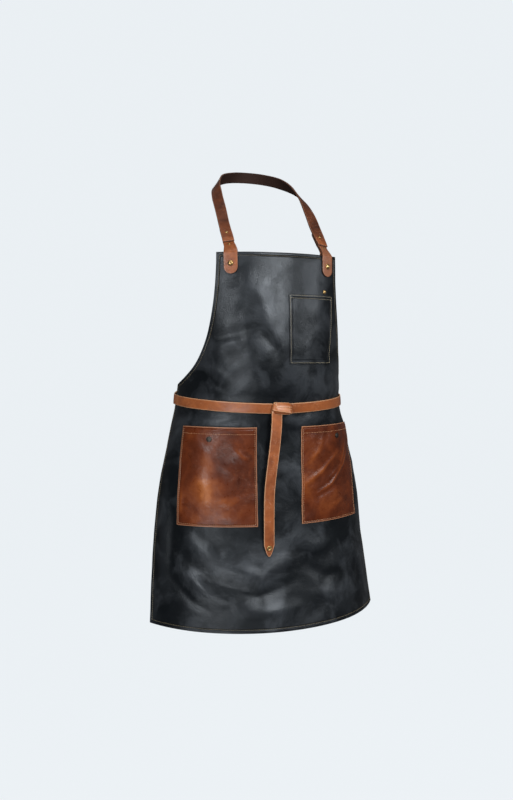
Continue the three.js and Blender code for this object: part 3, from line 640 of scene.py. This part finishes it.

# %% [markdown]
# Cognac pull-up leather for the hip pockets: oil in it moves away wherever it is bent, so folds and
# scratches turn orange and pressed places stay dark red-brown. The lighter ridges and darker dents are
# also painted highlight and painted shade.

# %% Pocket leather
cognac = Finish("cognac_pull_up_leather", Specular_IOR_Level=0.34)
patches = cognac.steps(cognac.clouds(17, detail=5, distortion=1.0), 0.34, 0.68)
small = cognac.clouds(60, detail=5, distortion=0.5)
# Lighter on ridges, darker in dents: pull-up leather, and also painted highlight and painted shade.
pulled_and_lit = cognac.steps(cognac.attribute("pull"), 0.3, 1.0)
tone = (patches * 0.28 + small * 0.4 + pulled_and_lit * 0.75 - 0.1).clamped()
tan_ramp = [
    (0.0, (0.046, 0.008, 0.002)),
    (0.35, (0.110, 0.022, 0.005)),
    (0.7, (0.205, 0.051, 0.011)),
    (1.0, (0.42, 0.140, 0.034)),
]
dye = cognac.node("ShaderNodeValToRGB", {"stops": tan_ramp}, {"Fac": tone}, output="Color")
lines = crease_lines(cognac, 40, (0.2, 0.9, 0.1)) * cognac.steps(cognac.clouds(21), 0.47, 0.62)
dye = cognac.blend(lines * 0.12, dye, (0.36, 0.13, 0.05))
cut_line = 1 - cognac.steps(cognac.attribute("edge"), 0.0008, 0.0022)
dye = cognac.blend(cut_line * 0.75, dye, (0.46, 0.22, 0.12))
cognac_bump = cognac.bumps(
    (pebbled_grain(cognac, 700), 0.0004, 0.3),
    (lines, 0.0004, 0.12),
    (seam_groove(cognac, HIP_INSET, 0.0011) * -1, 0.001, 0.8),
    (cognac.clouds(55, detail=3), 0.002, 0.4),
)
sheen = 0.2 + 0.22 * small
FINISHES["pocket_leather"] = (
    cognac.wear(Base_Color=dye, Roughness=sheen, Normal=cognac_bump),
    raw_leather("cognac_cut_edge", (0.24, 0.1, 0.05), (0.48, 0.26, 0.15)),
    raw_leather("cognac_flesh_side", (0.12, 0.055, 0.03), (0.26, 0.13, 0.075), 0.9, 0.0009),
)
print("pocket leather nodes", len(cognac.tree.nodes))

# %% [markdown]
# Patch pockets. Each is laid on the same form as the panel, folds included, a hair's breadth off it
# at the sewn sides. Towards the mouth it stands off by the height of the closed snap. The wearer's
# left pocket has been gripped often, so it has long slanting creases. The mouth of a hip pocket opens
# with its snap.

# %% Pockets
FRONT_GAP = 0.0006
SNAP_STACK = 0.0054  # from the panel's face to the pocket's inner face at the snap
CHEST_STAND = 0.0012


def pouch(across, up):
    """Share of the stand-off: none at the sewn sides, all of it in the middle of the mouth."""
    return np.sin(math.pi * np.clip(across, 0, 1)) ** 0.8 * smooth((up - 0.45) / 0.43)


snap_share = SNAP_ACROSS / HIP["width"], 1 - SNAP_DROP / HIP["depth"]
HIP_STAND = (SNAP_STACK - FRONT_GAP) / float(pouch(*snap_share))
MOUTH_RUN = 0.009  # over which the leather goes from the apron to the mouth


def mouth_blend(sign):
    """Where a pocket's leather leaves the apron, and where it wholly goes with its mouth. The sewn
    sides lie further back than the snap, so the line runs out of the pocket and a little upwards."""
    s, z = sign * SNAP_PLACE[0], SNAP_PLACE[1]
    out = face_normal(s, z)[0]
    snap = from_hem(face_point(s, z)[0] + out * (SNAP_STACK + POCKET_THICK))
    run = unit(unit(out * (1, 1, 0)) + np.array((0, 0, 0.2)))
    return snap - run * (MOUTH_RUN + 0.0006), snap - run * 0.0006


LEFT_CREASES = [  # in shares across and up the pocket, width in metres, height
    ([(0.02, 0.40), (0.30, 0.52), (0.62, 0.72)], 0.0055, 0.0016),
    ([(0.22, 0.30), (0.46, 0.38), (0.72, 0.56), (0.86, 0.74)], 0.0040, 0.0018),
    ([(0.26, 0.27), (0.50, 0.33), (0.70, 0.45)], 0.0030, -0.0012),
    ([(0.40, 0.42), (0.66, 0.56), (0.84, 0.86)], 0.0045, 0.0012),
    ([(0.10, 0.62), (0.26, 0.74), (0.34, 0.90)], 0.0060, 0.0010),
    ([(0.46, 0.16), (0.66, 0.20), (0.88, 0.16)], 0.0060, 0.0010),
]
RIGHT_CREASES = [
    ([(0.30, 0.80), (0.18, 0.70), (0.10, 0.66)], 0.0060, 0.0012),
    ([(0.40, 0.66), (0.26, 0.60), (0.08, 0.58)], 0.0070, -0.0010),
    ([(0.62, 0.92), (0.60, 0.60), (0.66, 0.20)], 0.0160, 0.0016),
    ([(0.94, 0.34), (0.97, 0.12)], 0.0060, 0.0014),
    ([(0.20, 0.30), (0.34, 0.24), (0.50, 0.26)], 0.0090, 0.0012),
]


def pocket_place(pocket, sign, u, v):
    """s, z and the share across from the inner side, for u to the wearer's left and v up."""
    across = u if sign > 0 else 1 - u
    outer = pocket["inner"] + pocket["width"] + pocket["splay"] * (1 - v)
    s = sign * (pocket["inner"] + (outer - pocket["inner"]) * across)
    return s, pocket["mouth"] - pocket["depth"] * (1 - v), across


def lay_pocket(pocket, sign, stand, creases):
    def lay(u, v):
        s, z, across = pocket_place(pocket, sign, u, v)
        lift = relief(s, z)
        own = np.zeros(s.shape)
        for line, width, height in creases:
            scaled = [(a * pocket["width"], b * pocket["depth"]) for a, b in line]
            gap, share = distance_to_line(across * pocket["width"], v * pocket["depth"], scaled)
            own += height * (0.2 + 0.8 * np.sin(math.pi * share)) * np.exp(-((gap / width) ** 2))
        side = np.minimum(across, 1 - across) * pocket["width"]
        edge = np.minimum(side, np.minimum(v, 1 - v) * pocket["depth"])
        own *= (1 - held_flat(s, z)) * smooth(edge / 0.012)
        height = FRONT_GAP + POCKET_THICK + stand * pouch(across, v) + lift + np.maximum(own, -0.0004)
        points = face_point(s, z) + face_normal(s, z) * height[:, None]
        # The last value lightens crease ridges as painted highlight and darkens dents as painted shade,
        # besides the pull-up lightening.
        return points, edge, np.clip(0.34 + 0.5 * np.tanh((0.5 * lift + 1.3 * own) / 0.0025), 0, 1)

    return lay


HIP_POCKETS = {
    "left": (1, lay_pocket(HIP, 1, HIP_STAND, LEFT_CREASES)),
    "right": (-1, lay_pocket(HIP, -1, HIP_STAND, RIGHT_CREASES)),
}
for side, (sign, surface) in HIP_POCKETS.items():
    pocket = laid_leather(f"hip_pocket_leather_{side}", 96, 118, surface, POCKET_THICK)
    dress(pocket, "pocket_leather")
    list(mouth_blend(sign))
    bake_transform(pocket)
    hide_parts(f"hip_pocket_{side}")

chest_surface = lay_pocket(CHEST, 1, CHEST_STAND, [])
chest = laid_leather("chest_pocket_leather", 60, 74, chest_surface, POCKET_THICK)
dress(chest, "black_leather")
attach(chest, "apron")
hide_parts("chest_pocket")

# %% [markdown]
# Thread. A lockstitch shows as a row of short rounded dashes, each sunk a little into its hole. One
# dash is a small sphere drawn out long, set along the seam at an even pitch and turned to the
# leather's own direction. Hundreds are needed, so each has few faces.

# %% Thread
STITCH_PITCH, STITCH_LENGTH = 0.0042, 0.0042 * 0.72
THREAD_THICK = 0.001
THREAD_LIFT = 0.0001  # of a stitch's middle off the leather's face


def thread_finish(name, dark, light):
    """Waxed linen thread, whose twist shows as a fine change of tone."""
    made = Finish(name, Roughness=0.55)
    return made.wear(Base_Color=made.blend(made.clouds(900, detail=2), dark, light))


OLIVE_THREAD = thread_finish("olive_thread", (0.11, 0.09, 0.055), (0.30, 0.25, 0.16))
KHAKI_THREAD = thread_finish("khaki_thread", (0.22, 0.19, 0.12), (0.46, 0.40, 0.28))
TAN_THREAD = thread_finish("tan_thread", (0.38, 0.17, 0.08), (0.62, 0.34, 0.18))


def even_places(line, pitch):
    """Places at an even pitch along a line of (s, z) points."""
    line = np.asarray(line, float)
    lengths = walked(line)
    at = np.linspace(0, lengths[-1], max(int(lengths[-1] / pitch), 2) + 1)
    return np.stack([np.interp(at, lengths, line[:, k]) for k in (0, 1)], axis=1)


def sewn(name, points, outs, finish):
    """A row of stitches at points, which look along outs and run from one point to the next."""
    bm = bmesh.new()
    for a, b, out in zip(points, points[1:], (outs[:-1] + outs[1:]) / 2):
        run = Vector(b - a)
        if run.length > 3 * STITCH_PITCH:
            continue
        middle = Vector(from_hem((a + b) / 2))
        run.normalize()
        up = Vector(out) - run * run.dot(Vector(out))
        up.normalize()
        turn = Matrix((run, up.cross(run), up)).transposed().to_4x4()
        size = Matrix.Diagonal((STITCH_LENGTH / 2, THREAD_THICK / 2, THREAD_THICK / 2, 1))
        bmesh.ops.create_uvsphere(
            bm, u_segments=6, v_segments=5, radius=1, matrix=Matrix.Translation(middle) @ turn @ size
        )
    made = add_object(name, mesh_from(bm, name))
    made.data.materials.append(finish)
    return made


def seam_on_panel(name, line, finish):
    places = even_places(line, STITCH_PITCH)
    s, z = places[:, 0], places[:, 1]
    outs = face_normal(s, z)
    points = face_point(s, z) + outs * (relief(s, z) + THREAD_LIFT)[:, None]
    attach(sewn(name, points, outs, finish), "apron")


def seam_on_pocket(name, pocket, sign, line, surface, finish):
    """A seam on a pocket, along a line in metres across from the inner side and up from the foot."""
    places = even_places(line, STITCH_PITCH)
    across, up = places[:, 0] / pocket["width"], places[:, 1] / pocket["depth"]
    u = across if sign > 0 else 1 - across
    points, _, _ = surface(u, up)
    s, z, _ = pocket_place(pocket, sign, u, up)
    outs = face_normal(s, z)
    return sewn(name, points + outs * THREAD_LIFT, outs, finish)


def side_line(sign):
    heights = np.linspace(SEAM_INSET, TOP - SEAM_INSET, 160)
    inset = SEAM_INSET * np.sqrt(1 + edge_slope(heights) ** 2)
    return np.stack([sign * (half_width(heights) - inset), heights], axis=1)


def around(pocket, inset):
    """Down one side of a pocket, along its foot and up the other side."""
    wide, tall = pocket["width"] - inset, pocket["depth"] - inset
    return [(inset, tall), (inset, inset), (wide, inset), (wide, tall)]


def across_mouth(pocket, inset, drop):
    """Straight across a pocket, this far below its mouth."""
    up = pocket["depth"] - drop
    return [(inset, up), (pocket["width"] - inset, up)]


SIDES = ("left", 1), ("right", -1)
for name, reach, z in (
    ("hem_stitching", HEM_HALF - SEAM_INSET, SEAM_INSET),
    ("top_stitching", BIB_HALF - SEAM_INSET, TOP - SEAM_INSET),
):
    seam_on_panel(name, [(-reach, z), (reach, z)], OLIVE_THREAD)
for side, sign in SIDES:
    seam_on_panel(f"side_stitching_{side}", side_line(sign), OLIVE_THREAD)

hip_lines = {"side": around(HIP, HIP_INSET), "mouth": across_mouth(HIP, HIP_INSET, 0.0150)}
for side, (sign, surface) in HIP_POCKETS.items():
    for row, line in hip_lines.items():
        seam = seam_on_pocket(f"hip_{row}_stitching_{side}", HIP, sign, line, surface, TAN_THREAD)
        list(mouth_blend(sign))
        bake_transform(seam)

chest_lines = {
    "side": around(CHEST, CHEST_INSET),
    "upper": across_mouth(CHEST, CHEST_INSET, CHEST_INSET),
    "lower": across_mouth(CHEST, CHEST_INSET, 0.0085),
}
for row, line in chest_lines.items():
    seam = seam_on_pocket(f"chest_{row}_stitching", CHEST, 1, line, chest_surface, KHAKI_THREAD)
    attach(seam, "apron")

# %% [markdown]
# Bridle leather for the neck strap and its tabs, and a paler veg-tanned leather for the waist straps.
# Both are smooth on the face, with a little grain, and pale along the cut edges.

# %% Strap leathers
def strap_finish(name, dark, middle, light, edge_colour, gloss):
    made = Finish(name)
    patches = made.clouds(24, detail=5, distortion=0.8)
    fine = made.clouds(150, detail=4)
    # The pull lightens the leather: the strap's own pull-up lightening, and on the knot's bands also
    # painted highlight and painted shade.
    pulled_and_lit = made.steps(made.attribute("pull"), 0.2, 1.0)
    tone = (patches * 0.7 + fine * 0.25 + pulled_and_lit * 0.5 - 0.17).clamped()
    stops = [(0.15, dark), (0.5, middle), (0.85, light)]
    dye = made.node("ShaderNodeValToRGB", {"stops": stops}, {"Fac": tone}, output="Color")
    lines = crease_lines(made, 60, (0.2, 1.3, 0.3)) * made.steps(made.clouds(40), 0.48, 0.6)
    dye = made.blend(lines * 0.3, dye, light)
    rim = 1 - made.steps(made.attribute("edge"), 0.0006, 0.0022)
    dye = made.blend(rim * 0.6, dye, edge_colour)
    grain = made.pebbles(1100) + fine * 0.5
    grain_bump = made.bumps((grain, 0.0003, 0.3), (lines * -1, 0.0005, 0.4))
    return made.wear(Base_Color=dye, Roughness=gloss + 0.18 * fine, Normal=grain_bump)


DARK_BRIDLE = (0.040, 0.011, 0.005), (0.145, 0.040, 0.013), (0.42, 0.130, 0.040), (0.26, 0.11, 0.06)
TAN_STRAP = (0.16, 0.040, 0.012), (0.33, 0.099, 0.029), (0.56, 0.22, 0.085), (0.60, 0.34, 0.19)
FINISHES["strap_leather"] = (
    strap_finish("brown_bridle_leather", *DARK_BRIDLE, 0.27),
    raw_leather("bridle_cut_edge", (0.06, 0.025, 0.015), (0.15, 0.07, 0.042)),
    # The flesh side is partly its own darker colour and partly painted shade, for the band that turns
    # away behind the neck.
    raw_leather("bridle_flesh_side_painted_shade", (0.010, 0.004, 0.003), (0.038, 0.016, 0.010), 0.8),
)
FINISHES["tie_leather"] = (
    strap_finish("tan_strap_leather", *TAN_STRAP, 0.24),
    raw_leather("tan_cut_edge", (0.36, 0.17, 0.08), (0.6, 0.36, 0.2)),
    raw_leather("tan_flesh_side", (0.2, 0.08, 0.035), (0.36, 0.17, 0.085), 0.85),
)
print("leathers", list(FINISHES))

# %% [markdown]
# A strap is a long grid laid along stations. Each station has a point on the strap's middle line, the
# way its outer face looks and its half width. The face is crowned slightly, as real edges are pressed
# down when a strap is cut. The neck strap's stations come from one smooth curve over the shoulder.

# %% Straps along a line
def catmull(points, t, even):
    """A smooth curve through points at t from 0 to 1. even keeps each span's own length in account."""
    points = np.asarray(points, float)
    last = len(points) - 1
    k = min(int(t * last), last - 1)
    w = t * last - k
    before = points[k - 1] if k else 2 * points[0] - points[1]
    a, b = points[k], points[k + 1]
    after = points[k + 2] if k + 2 <= last else 2 * points[last] - points[last - 1]
    if even:
        d0, d1, d2 = (np.linalg.norm(q - p) ** 0.5 for p, q in ((before, a), (a, b), (b, after)))
        start = ((a - before) / d0 - (b - before) / (d0 + d1) + (b - a) / d1) * d1
        end = ((b - a) / d1 - (after - a) / (d1 + d2) + (after - b) / d2) * d1
    else:
        start, end = (b - before) / 2, (after - a) / 2
    return a + start * w + (3 * (b - a) - 2 * start - end) * w**2 + (2 * (a - b) + start + end) * w**3


def strap(name, points, outs, half, thick, crown=0.0003, columns=8, pull=0.45):
    """A flat strap along points, with its outer face towards outs."""
    points, outs = np.asarray(points), np.asarray(outs)
    half = np.broadcast_to(half, len(points))
    tangents = unit(np.gradient(points, axis=0))
    faces = unit(outs - tangents * (outs * tangents).sum(axis=1, keepdims=True))
    across = np.cross(tangents, faces)
    lengths = walked(points)
    pulled_and_lit = np.broadcast_to(pull, len(points))
    rows = len(points) - 1

    def lay(u, v):
        k = np.rint(v * rows).astype(int)
        side = (2 * u - 1)[:, None]
        crowned = thick / 2 + crown * (1 - side**2) - crown
        placed = points[k] + across[k] * side * half[k][:, None] + faces[k] * crowned
        ends = np.minimum(lengths[k], lengths[-1] - lengths[k])
        return placed, np.minimum((1 - np.abs(2 * u - 1)) * half[k], ends), pulled_and_lit[k]

    return laid_leather(name, columns, rows, lay, thick, 0.0005)


NECK_ROUTE = [  # share of the tab's distance from the middle, behind, above the bib's edge, looking
    (1.007, 0.0045, 0.013, (0.36, -0.8, 0.42)),
    (0.996, 0.016, 0.022, (0.28, -0.78, 0.54)),
    (0.99, 0.027, 0.034, (0.2, -0.78, 0.57)),
    (0.98, 0.059, 0.067, (0, -0.77, 0.61)),
    (0.97, 0.089, 0.102, (0.14, -0.72, 0.66)),
    (0.945, 0.130, 0.142, (0.53, -0.52, 0.67)),
    (0.856, 0.172, 0.174, (0.76, 0, 0.62)),
    (0.64, 0.2067, 0.1955, (0.74, 0.54, 0.4)),
    (0.35, 0.227, 0.2058, (0.4, 0.81, 0.4)),
    (0, 0.234, 0.209, (0, 1, 0)),
]
LEAF_STEP = STRAP_THICK / 2 + FRONT_GAP + LEAF_THICK / 2  # strap's middle to the front leaf's middle
TAB_GAP = 0.0013
ROUTE_LIFT = TAB_GAP + LEAF_THICK / 2 + LEAF_STEP
LAP_RISE, LEAF_RISE, FLEX_RISE = 0.024, 0.056, 0.067  # above the bib's top edge
BIB_DROPS = np.array((TAB_FOOT, STUD_DROP, 0.008, 0.0))  # stations of the route on the bib


def neck_knots(sign):
    outs = face_normal(TAB_MIDDLE, TOP - BIB_DROPS)
    on_bib = face_point(TAB_MIDDLE, TOP - BIB_DROPS) + outs * ROUTE_LIFT
    shoulder = face_point(TAB_MIDDLE, TOP)[0]
    knots = list(zip(on_bib, outs))
    for share, behind, rise, out in NECK_ROUTE:
        point = np.array((share * shoulder[0], shoulder[1] + behind, TOP + rise))
        knots.append((point, unit(np.array(out, float))))
    mirror = np.array((sign, 1, 1))
    return [(point * mirror, out * mirror) for point, out in knots]


all_knots = neck_knots(-1) + neck_knots(1)[-2::-1]
knot_points, knot_outs = (np.array(column) for column in zip(*all_knots))


def neck_at(t):
    return catmull(knot_points, t, True), catmull(knot_outs, t, False)


def neck_share(rise):
    """How far along the route, on the wearer's right side, it has risen this far above the bib."""
    low, high = 0.0, 0.5
    for _ in range(40):
        middle = (low + high) / 2
        low, high = (middle, high) if neck_at(middle)[0][2] < TOP + rise else (low, middle)
    return low


print("neck route passes the bib's edge at", round(neck_share(0.0), 3))

# %% [markdown]
# The neck strap is one strap from lap to lap. It swings at the line just above the tabs.

# %% Neck strap
STRAP_HALF = 0.0125
FLEX_HALF = 0.018  # of the length that bends
NECK_STATIONS = 150
lap_share = neck_share(LAP_RISE)
route = [neck_at(t) for t in np.linspace(lap_share, 1 - lap_share, NECK_STATIONS)]
count = np.arange(NECK_STATIONS)
from_lap = np.minimum(count, count[::-1]) / NECK_STATIONS
bent = 0.22 + 0.5 * (1 - smooth(from_lap / 0.16))
neck_strap = strap("neck_strap_leather", *zip(*route), STRAP_HALF, STRAP_THICK, pull=bent)
dress(neck_strap, "strap_leather")
flex_share = neck_share(FLEX_RISE)
flex_point = from_hem(neck_at(flex_share)[0])
flex_run = neck_at(flex_share + 0.002)[0] - neck_at(flex_share - 0.002)[0]
flex_run = unit(flex_run * np.array((0, 1, 1)))
flex_middle = flex_point * np.array((0, 1, 1))
flex_reach = flex_run * FLEX_HALF
flex_middle - flex_reach
flex_middle + flex_reach
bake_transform(neck_strap)
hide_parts("neck_strap", "neck_strap_end_left", "neck_strap_end_right")
print("neck strap flexes at", flex_point.round(3))

# %% [markdown]
# Each tab is two leaves with the bib's edge between them. The front leaf has a round foot on the
# bib's face and runs up under the strap's lapped end. The back leaf does the same behind the bib.

# %% Tabs
TAB_HALF = 0.0145
BACK_GAP = 0.0008
BEHIND_PANEL = PANEL_THICK + BACK_GAP + LEAF_THICK / 2
BEHIND_LEAF = LEAF_STEP + LEAF_THICK + TAB_GAP


def round_foot(distance, half):
    """Half widths at a distance from the end of a leaf with a round foot."""
    short = np.maximum(half - distance, 0)
    return np.maximum(np.sqrt(half**2 - short**2), half * 0.06)


def leaf(name, points, outs, sign, neck_half):
    """One leaf of a tab, from its round foot up, mirrored to the side it is on."""
    points, outs = np.array(points), np.array(outs)
    lengths = walked(points)
    mirror = np.array((-sign, 1, 1))
    half = round_foot(lengths, TAB_HALF) - (TAB_HALF - neck_half) * smooth((lengths - TAB_FOOT) / 0.026)
    half = half * (1 if sign < 0 else -1)
    made = strap(name, points * mirror, outs * mirror, half, LEAF_THICK, 0.0002, pull=0.66)
    if sign > 0:
        made.data.flip_normals()
    return made


def crowded(count):
    """Shares from 0 to 1, closer together near 0, where a foot is round."""
    return np.linspace(0, 1, count) ** 1.6


front_route = [neck_at(t) for t in crowded(44) * neck_share(LEAF_RISE)]
back_outs = face_normal(-TAB_MIDDLE, TOP - BIB_DROPS)
back_points = face_point(-TAB_MIDDLE, TOP - BIB_DROPS) - back_outs * BEHIND_PANEL
over_edge = back_points[-1] * np.array((1, 1, 0)) + np.array((0, 0, TOP + 0.002))
closed = [neck_at(neck_share(rise)) for rise in (0.018, 0.026, 0.036, 0.046, LEAF_RISE)]
back_knots = [*back_points, over_edge, *[p - unit(o) * BEHIND_LEAF for p, o in closed]]
back_looks = [*back_outs, back_outs[-1], *[o for _, o in closed]]
back_route = [(catmull(back_knots, t, True), catmull(back_looks, t, False)) for t in crowded(44)]
LEAVES = ("front", front_route, LEAF_STEP, 0.0118), ("back", back_route, 0.0, 0.0103)
for side, sign in SIDES:
    for face, line, inset, neck_half in LEAVES:
        places = [p - unit(o) * inset for p, o in line]
        made = leaf(f"tab_{face}_leather_{side}", places, [o for _, o in line], sign, neck_half)
        dress(made, "strap_leather")
        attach(made, "apron")
        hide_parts(f"tab_{face}_{side}")
print("back leaf", round(float(walked(np.array(places))[-1]), 3), "m long")

# %% [markdown]
# The waist straps. Each is fixed behind one side edge of the panel, runs round the wearer's back,
# comes over the other side edge and forward to the knot. In front they lie on the leather and dip a
# little towards the middle.

# %% Waist straps
TIE_HALF = 0.011
BACK_DEPTH, BACK_RISE = 0.080, 0.013
tie_edge = float(half_width(TIE_SIDE))
ANCHOR_REACH = 0.028  # of a strap's fixed end behind the panel's edge
INNER_LIFT = -(PANEL_THICK + BACK_GAP + TIE_THICK / 2)
OUTER_LIFT = 0.0015 + TIE_THICK / 2


def tie_height(s):
    return TIE_FRONT + (TIE_SIDE - TIE_FRONT) * (np.abs(s) / tie_edge) ** 1.5


def tie_line(sign, front_end):
    """Points and looks of the strap that starts behind the edge on the side sign."""
    edge = face_point(tie_edge, TIE_SIDE)[0]
    edge_out = face_normal(tie_edge, TIE_SIDE)[0]
    inside = sign * np.linspace(tie_edge - ANCHOR_REACH, tie_edge, 8)
    outs = [face_normal(inside, TIE_SIDE)]
    points = [face_point(inside, TIE_SIDE) + outs[0] * INNER_LIFT]
    share = np.linspace(0, 1, 86)[1:-1]
    angle = math.pi * share
    near = np.minimum(share, 1 - share)
    c, s = sign * np.cos(angle), np.sin(angle)
    radial = unit(np.stack([c * BACK_DEPTH, s * edge[0], 0 * share], axis=1))
    radial[:, 2] = edge_out[2] * (1 - smooth(near / 0.15))
    radial = unit(radial)
    height = TIE_SIDE + sign * BACK_RISE * smooth(near / 0.22)
    ring = np.stack([c * edge[0], edge[1] + BACK_DEPTH * s, height], axis=1)
    lift = INNER_LIFT + (OUTER_LIFT - INNER_LIFT) * smooth(share)
    points.append(ring + radial * lift[:, None])
    outs.append(radial)
    front = -sign * np.linspace(tie_edge, front_end, 60)
    outs.append(face_normal(front, tie_height(front)))
    points.append(face_point(front, tie_height(front)) + outs[-1] * OUTER_LIFT)
    return np.concatenate(points), np.concatenate(outs)


KNOT = {"left": -0.024, "right": 0.022, "depth": 0.014, "height": 0.027}
for side, sign, front_end in (("left", 1, -KNOT["left"] - 0.006), ("right", -1, KNOT["right"] - 0.006)):
    points, outs = tie_line(sign, front_end)
    made = strap(f"waist_strap_leather_{side}", points, outs, TIE_HALF, TIE_THICK, 0.0004)
    dress(made, "tie_leather")
    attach(made, "apron")
    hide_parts(f"waist_strap_{side}")
print("waist straps reach the knot at", KNOT["left"], KNOT["right"])

# %% [markdown]
# The knot: the straps cross, and one is drawn round the other. Its heart is a flat roll. Over it lie
# squeezed bands that run round the heart from end to end: one slants down across the front, one
# shows below it, and one comes out at the top towards the wearer's left.

# %% Knot
BAND_THICK = 0.0024
HEART_START = -2.6  # radians round the roll, from the front
knot_face = float(min(face_point(0, TIE_FRONT + 0.0135)[0][1], face_point(0, TIE_FRONT)[0][1]))
KNOT_MIDDLE = np.array((-0.001, knot_face - 0.001 - KNOT["depth"] / 2, TIE_FRONT))


def knot_heart(name, turns, width, size):
    """A band wound about the roll's long axis."""
    angle = np.linspace(0, turns * math.tau, int(40 * turns) + 1) + HEART_START
    depth, height = size
    c, s = np.cos(angle), np.sin(angle)
    points = KNOT_MIDDLE + np.stack([0 * c, -c * depth, s * height], axis=1)
    outs = unit(np.stack([0 * c, -c / depth, s / height], axis=1))
    return strap(name, points, outs, width / 2, BAND_THICK, 0.0006)


def knot_band(name, angles, reach, depth, width, rises, look_up, pull):
    """A band round the knot. Angle 0 is in front, and a quarter turn is at the wearer's left end."""
    angle = np.radians(np.linspace(*angles, 61))
    share = smooth((angle - angle[0]) / (angle[-1] - angle[0]))
    c, s = np.cos(angle), np.sin(angle)
    x = np.sign(s) * np.abs(s) ** 0.85 * reach
    y = -np.sign(c) * np.abs(c) ** 0.7 * depth
    z = rises[0] + (rises[1] - rises[0]) * share
    points = KNOT_MIDDLE + np.stack([x, y, z], axis=1)
    tilt = look_up * np.abs(c) ** 0.5 / depth
    outs = unit(np.stack([s / reach, -c / depth, tilt], axis=1))
    return strap(name, points, outs, width / 2, BAND_THICK, 0.0009, columns=12, pull=pull)


heart = knot_heart("knot_heart", 1.1, 0.030, (0.0046, 0.0104))
# The front and high bands are painted lighter, as painted highlight, and the low band darker, as
# painted shade under the knot.
bands = [
    knot_band("knot_band_front", (-152, 140), 0.0200, 0.0070, 0.0150, (0.0064, -0.0052), 0.25, 0.62),
    knot_band("knot_band_low", (-128, 132), 0.0186, 0.0056, 0.0128, (-0.0058, -0.0074), -0.45, 0.1),
    knot_band("knot_band_high", (-50, 138), 0.0184, 0.0056, 0.0112, (0.0084, 0.0060), 0.5, 0.55),
]
for made in (heart, *bands):
    dress(made, "tie_leather")
    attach(made, "apron")
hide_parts("waist_knot")
print("knot", [round(x, 3) for x in from_hem(KNOT_MIDDLE)])

# %% [markdown]
# The hanging end leaves the knot below, leans a little to the wearer's right as it falls, and ends in
# a point with a brass eyelet. It swings from the knot.

# %% Hanging end
TAIL = {"length": 0.299, "half": 0.0115, "point": 0.024, "tip": 0.002, "top": -0.0126, "lean": 0.017}
tail_top = TIE_FRONT - KNOT["height"] / 2 - 0.0029
drop = (1 - (1 - np.linspace(0, 1, 90)) ** 1.3) * TAIL["length"]
drop = np.concatenate([[-0.012, -0.006], drop])  # two stations inside the knot
left_over = TAIL["length"] - drop
half = TAIL["tip"] + (TAIL["half"] - TAIL["tip"]) * np.minimum(left_over / TAIL["point"], 1) ** 0.7
tail_x = TAIL["top"] - TAIL["lean"] * smooth(drop / 0.19)
tail_points = np.stack([tail_x, np.full(len(drop), KNOT_MIDDLE[1] + 0.0004), tail_top - drop], axis=1)
tail_outs = np.tile((0.0, -1.0, 0.0), (len(drop), 1))
# The hanging end is coloured darker towards its point.
tail_tone = 0.5 - 0.4 * smooth(drop / (0.7 * TAIL["length"]))
tail_shape = tail_points[::-1], tail_outs, half[::-1], TIE_THICK, 0.0004
tail = strap("hanging_end_leather", *tail_shape, pull=tail_tone[::-1])
dress(tail, "tie_leather")
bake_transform(tail)
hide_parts("waist_tail")
print("hanging end", round(TAIL["length"], 3))

# %% [markdown]
# Metal. The rivets, studs and eyelet are brass with a thin tarnish, and the snaps are dark plated
# steel. Their CAD solids have the right shape, so only their finish is changed.

# %% Metals
brass = Finish("worn_brass", Metallic=1.0)
tarnish = brass.clouds(260, detail=4)
BRASS = brass.wear(
    Base_Color=brass.blend(tarnish, (0.62, 0.43, 0.18), (0.33, 0.20, 0.08)),
    Roughness=0.26 + 0.26 * tarnish,
    Normal=brass.bumps((brass.clouds(1500), 0.0001, 0.3)),
)
gunmetal = Finish("dark_plating", Metallic=1.0)
rub = gunmetal.clouds(420, detail=4)
GUNMETAL = gunmetal.wear(
    Base_Color=gunmetal.blend(rub, (0.030, 0.027, 0.025), (0.10, 0.09, 0.08)),
    Roughness=0.42 + 0.2 * rub,
    Normal=gunmetal.bumps((gunmetal.clouds(1500), 0.0001, 0.3)),
)
METAL_WORDS = ("rivet", "stud", "anchor", "tail_", "snap")
hardware = [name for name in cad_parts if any(word in name for word in METAL_WORDS)]
for name in hardware:
    metal = GUNMETAL if name.startswith("snap") else BRASS
    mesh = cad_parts[name].data
    mesh.materials.clear()
    mesh.materials.append(metal)
print("metal pieces", len(hardware))

# %% [markdown]
# Each cut of leather is declared as a sheet, with the size it was cut to.

# %% Sheets
for side in ("left", "right"):
    pocket = bpy.data.objects[f"hip_pocket_leather_{side}"]
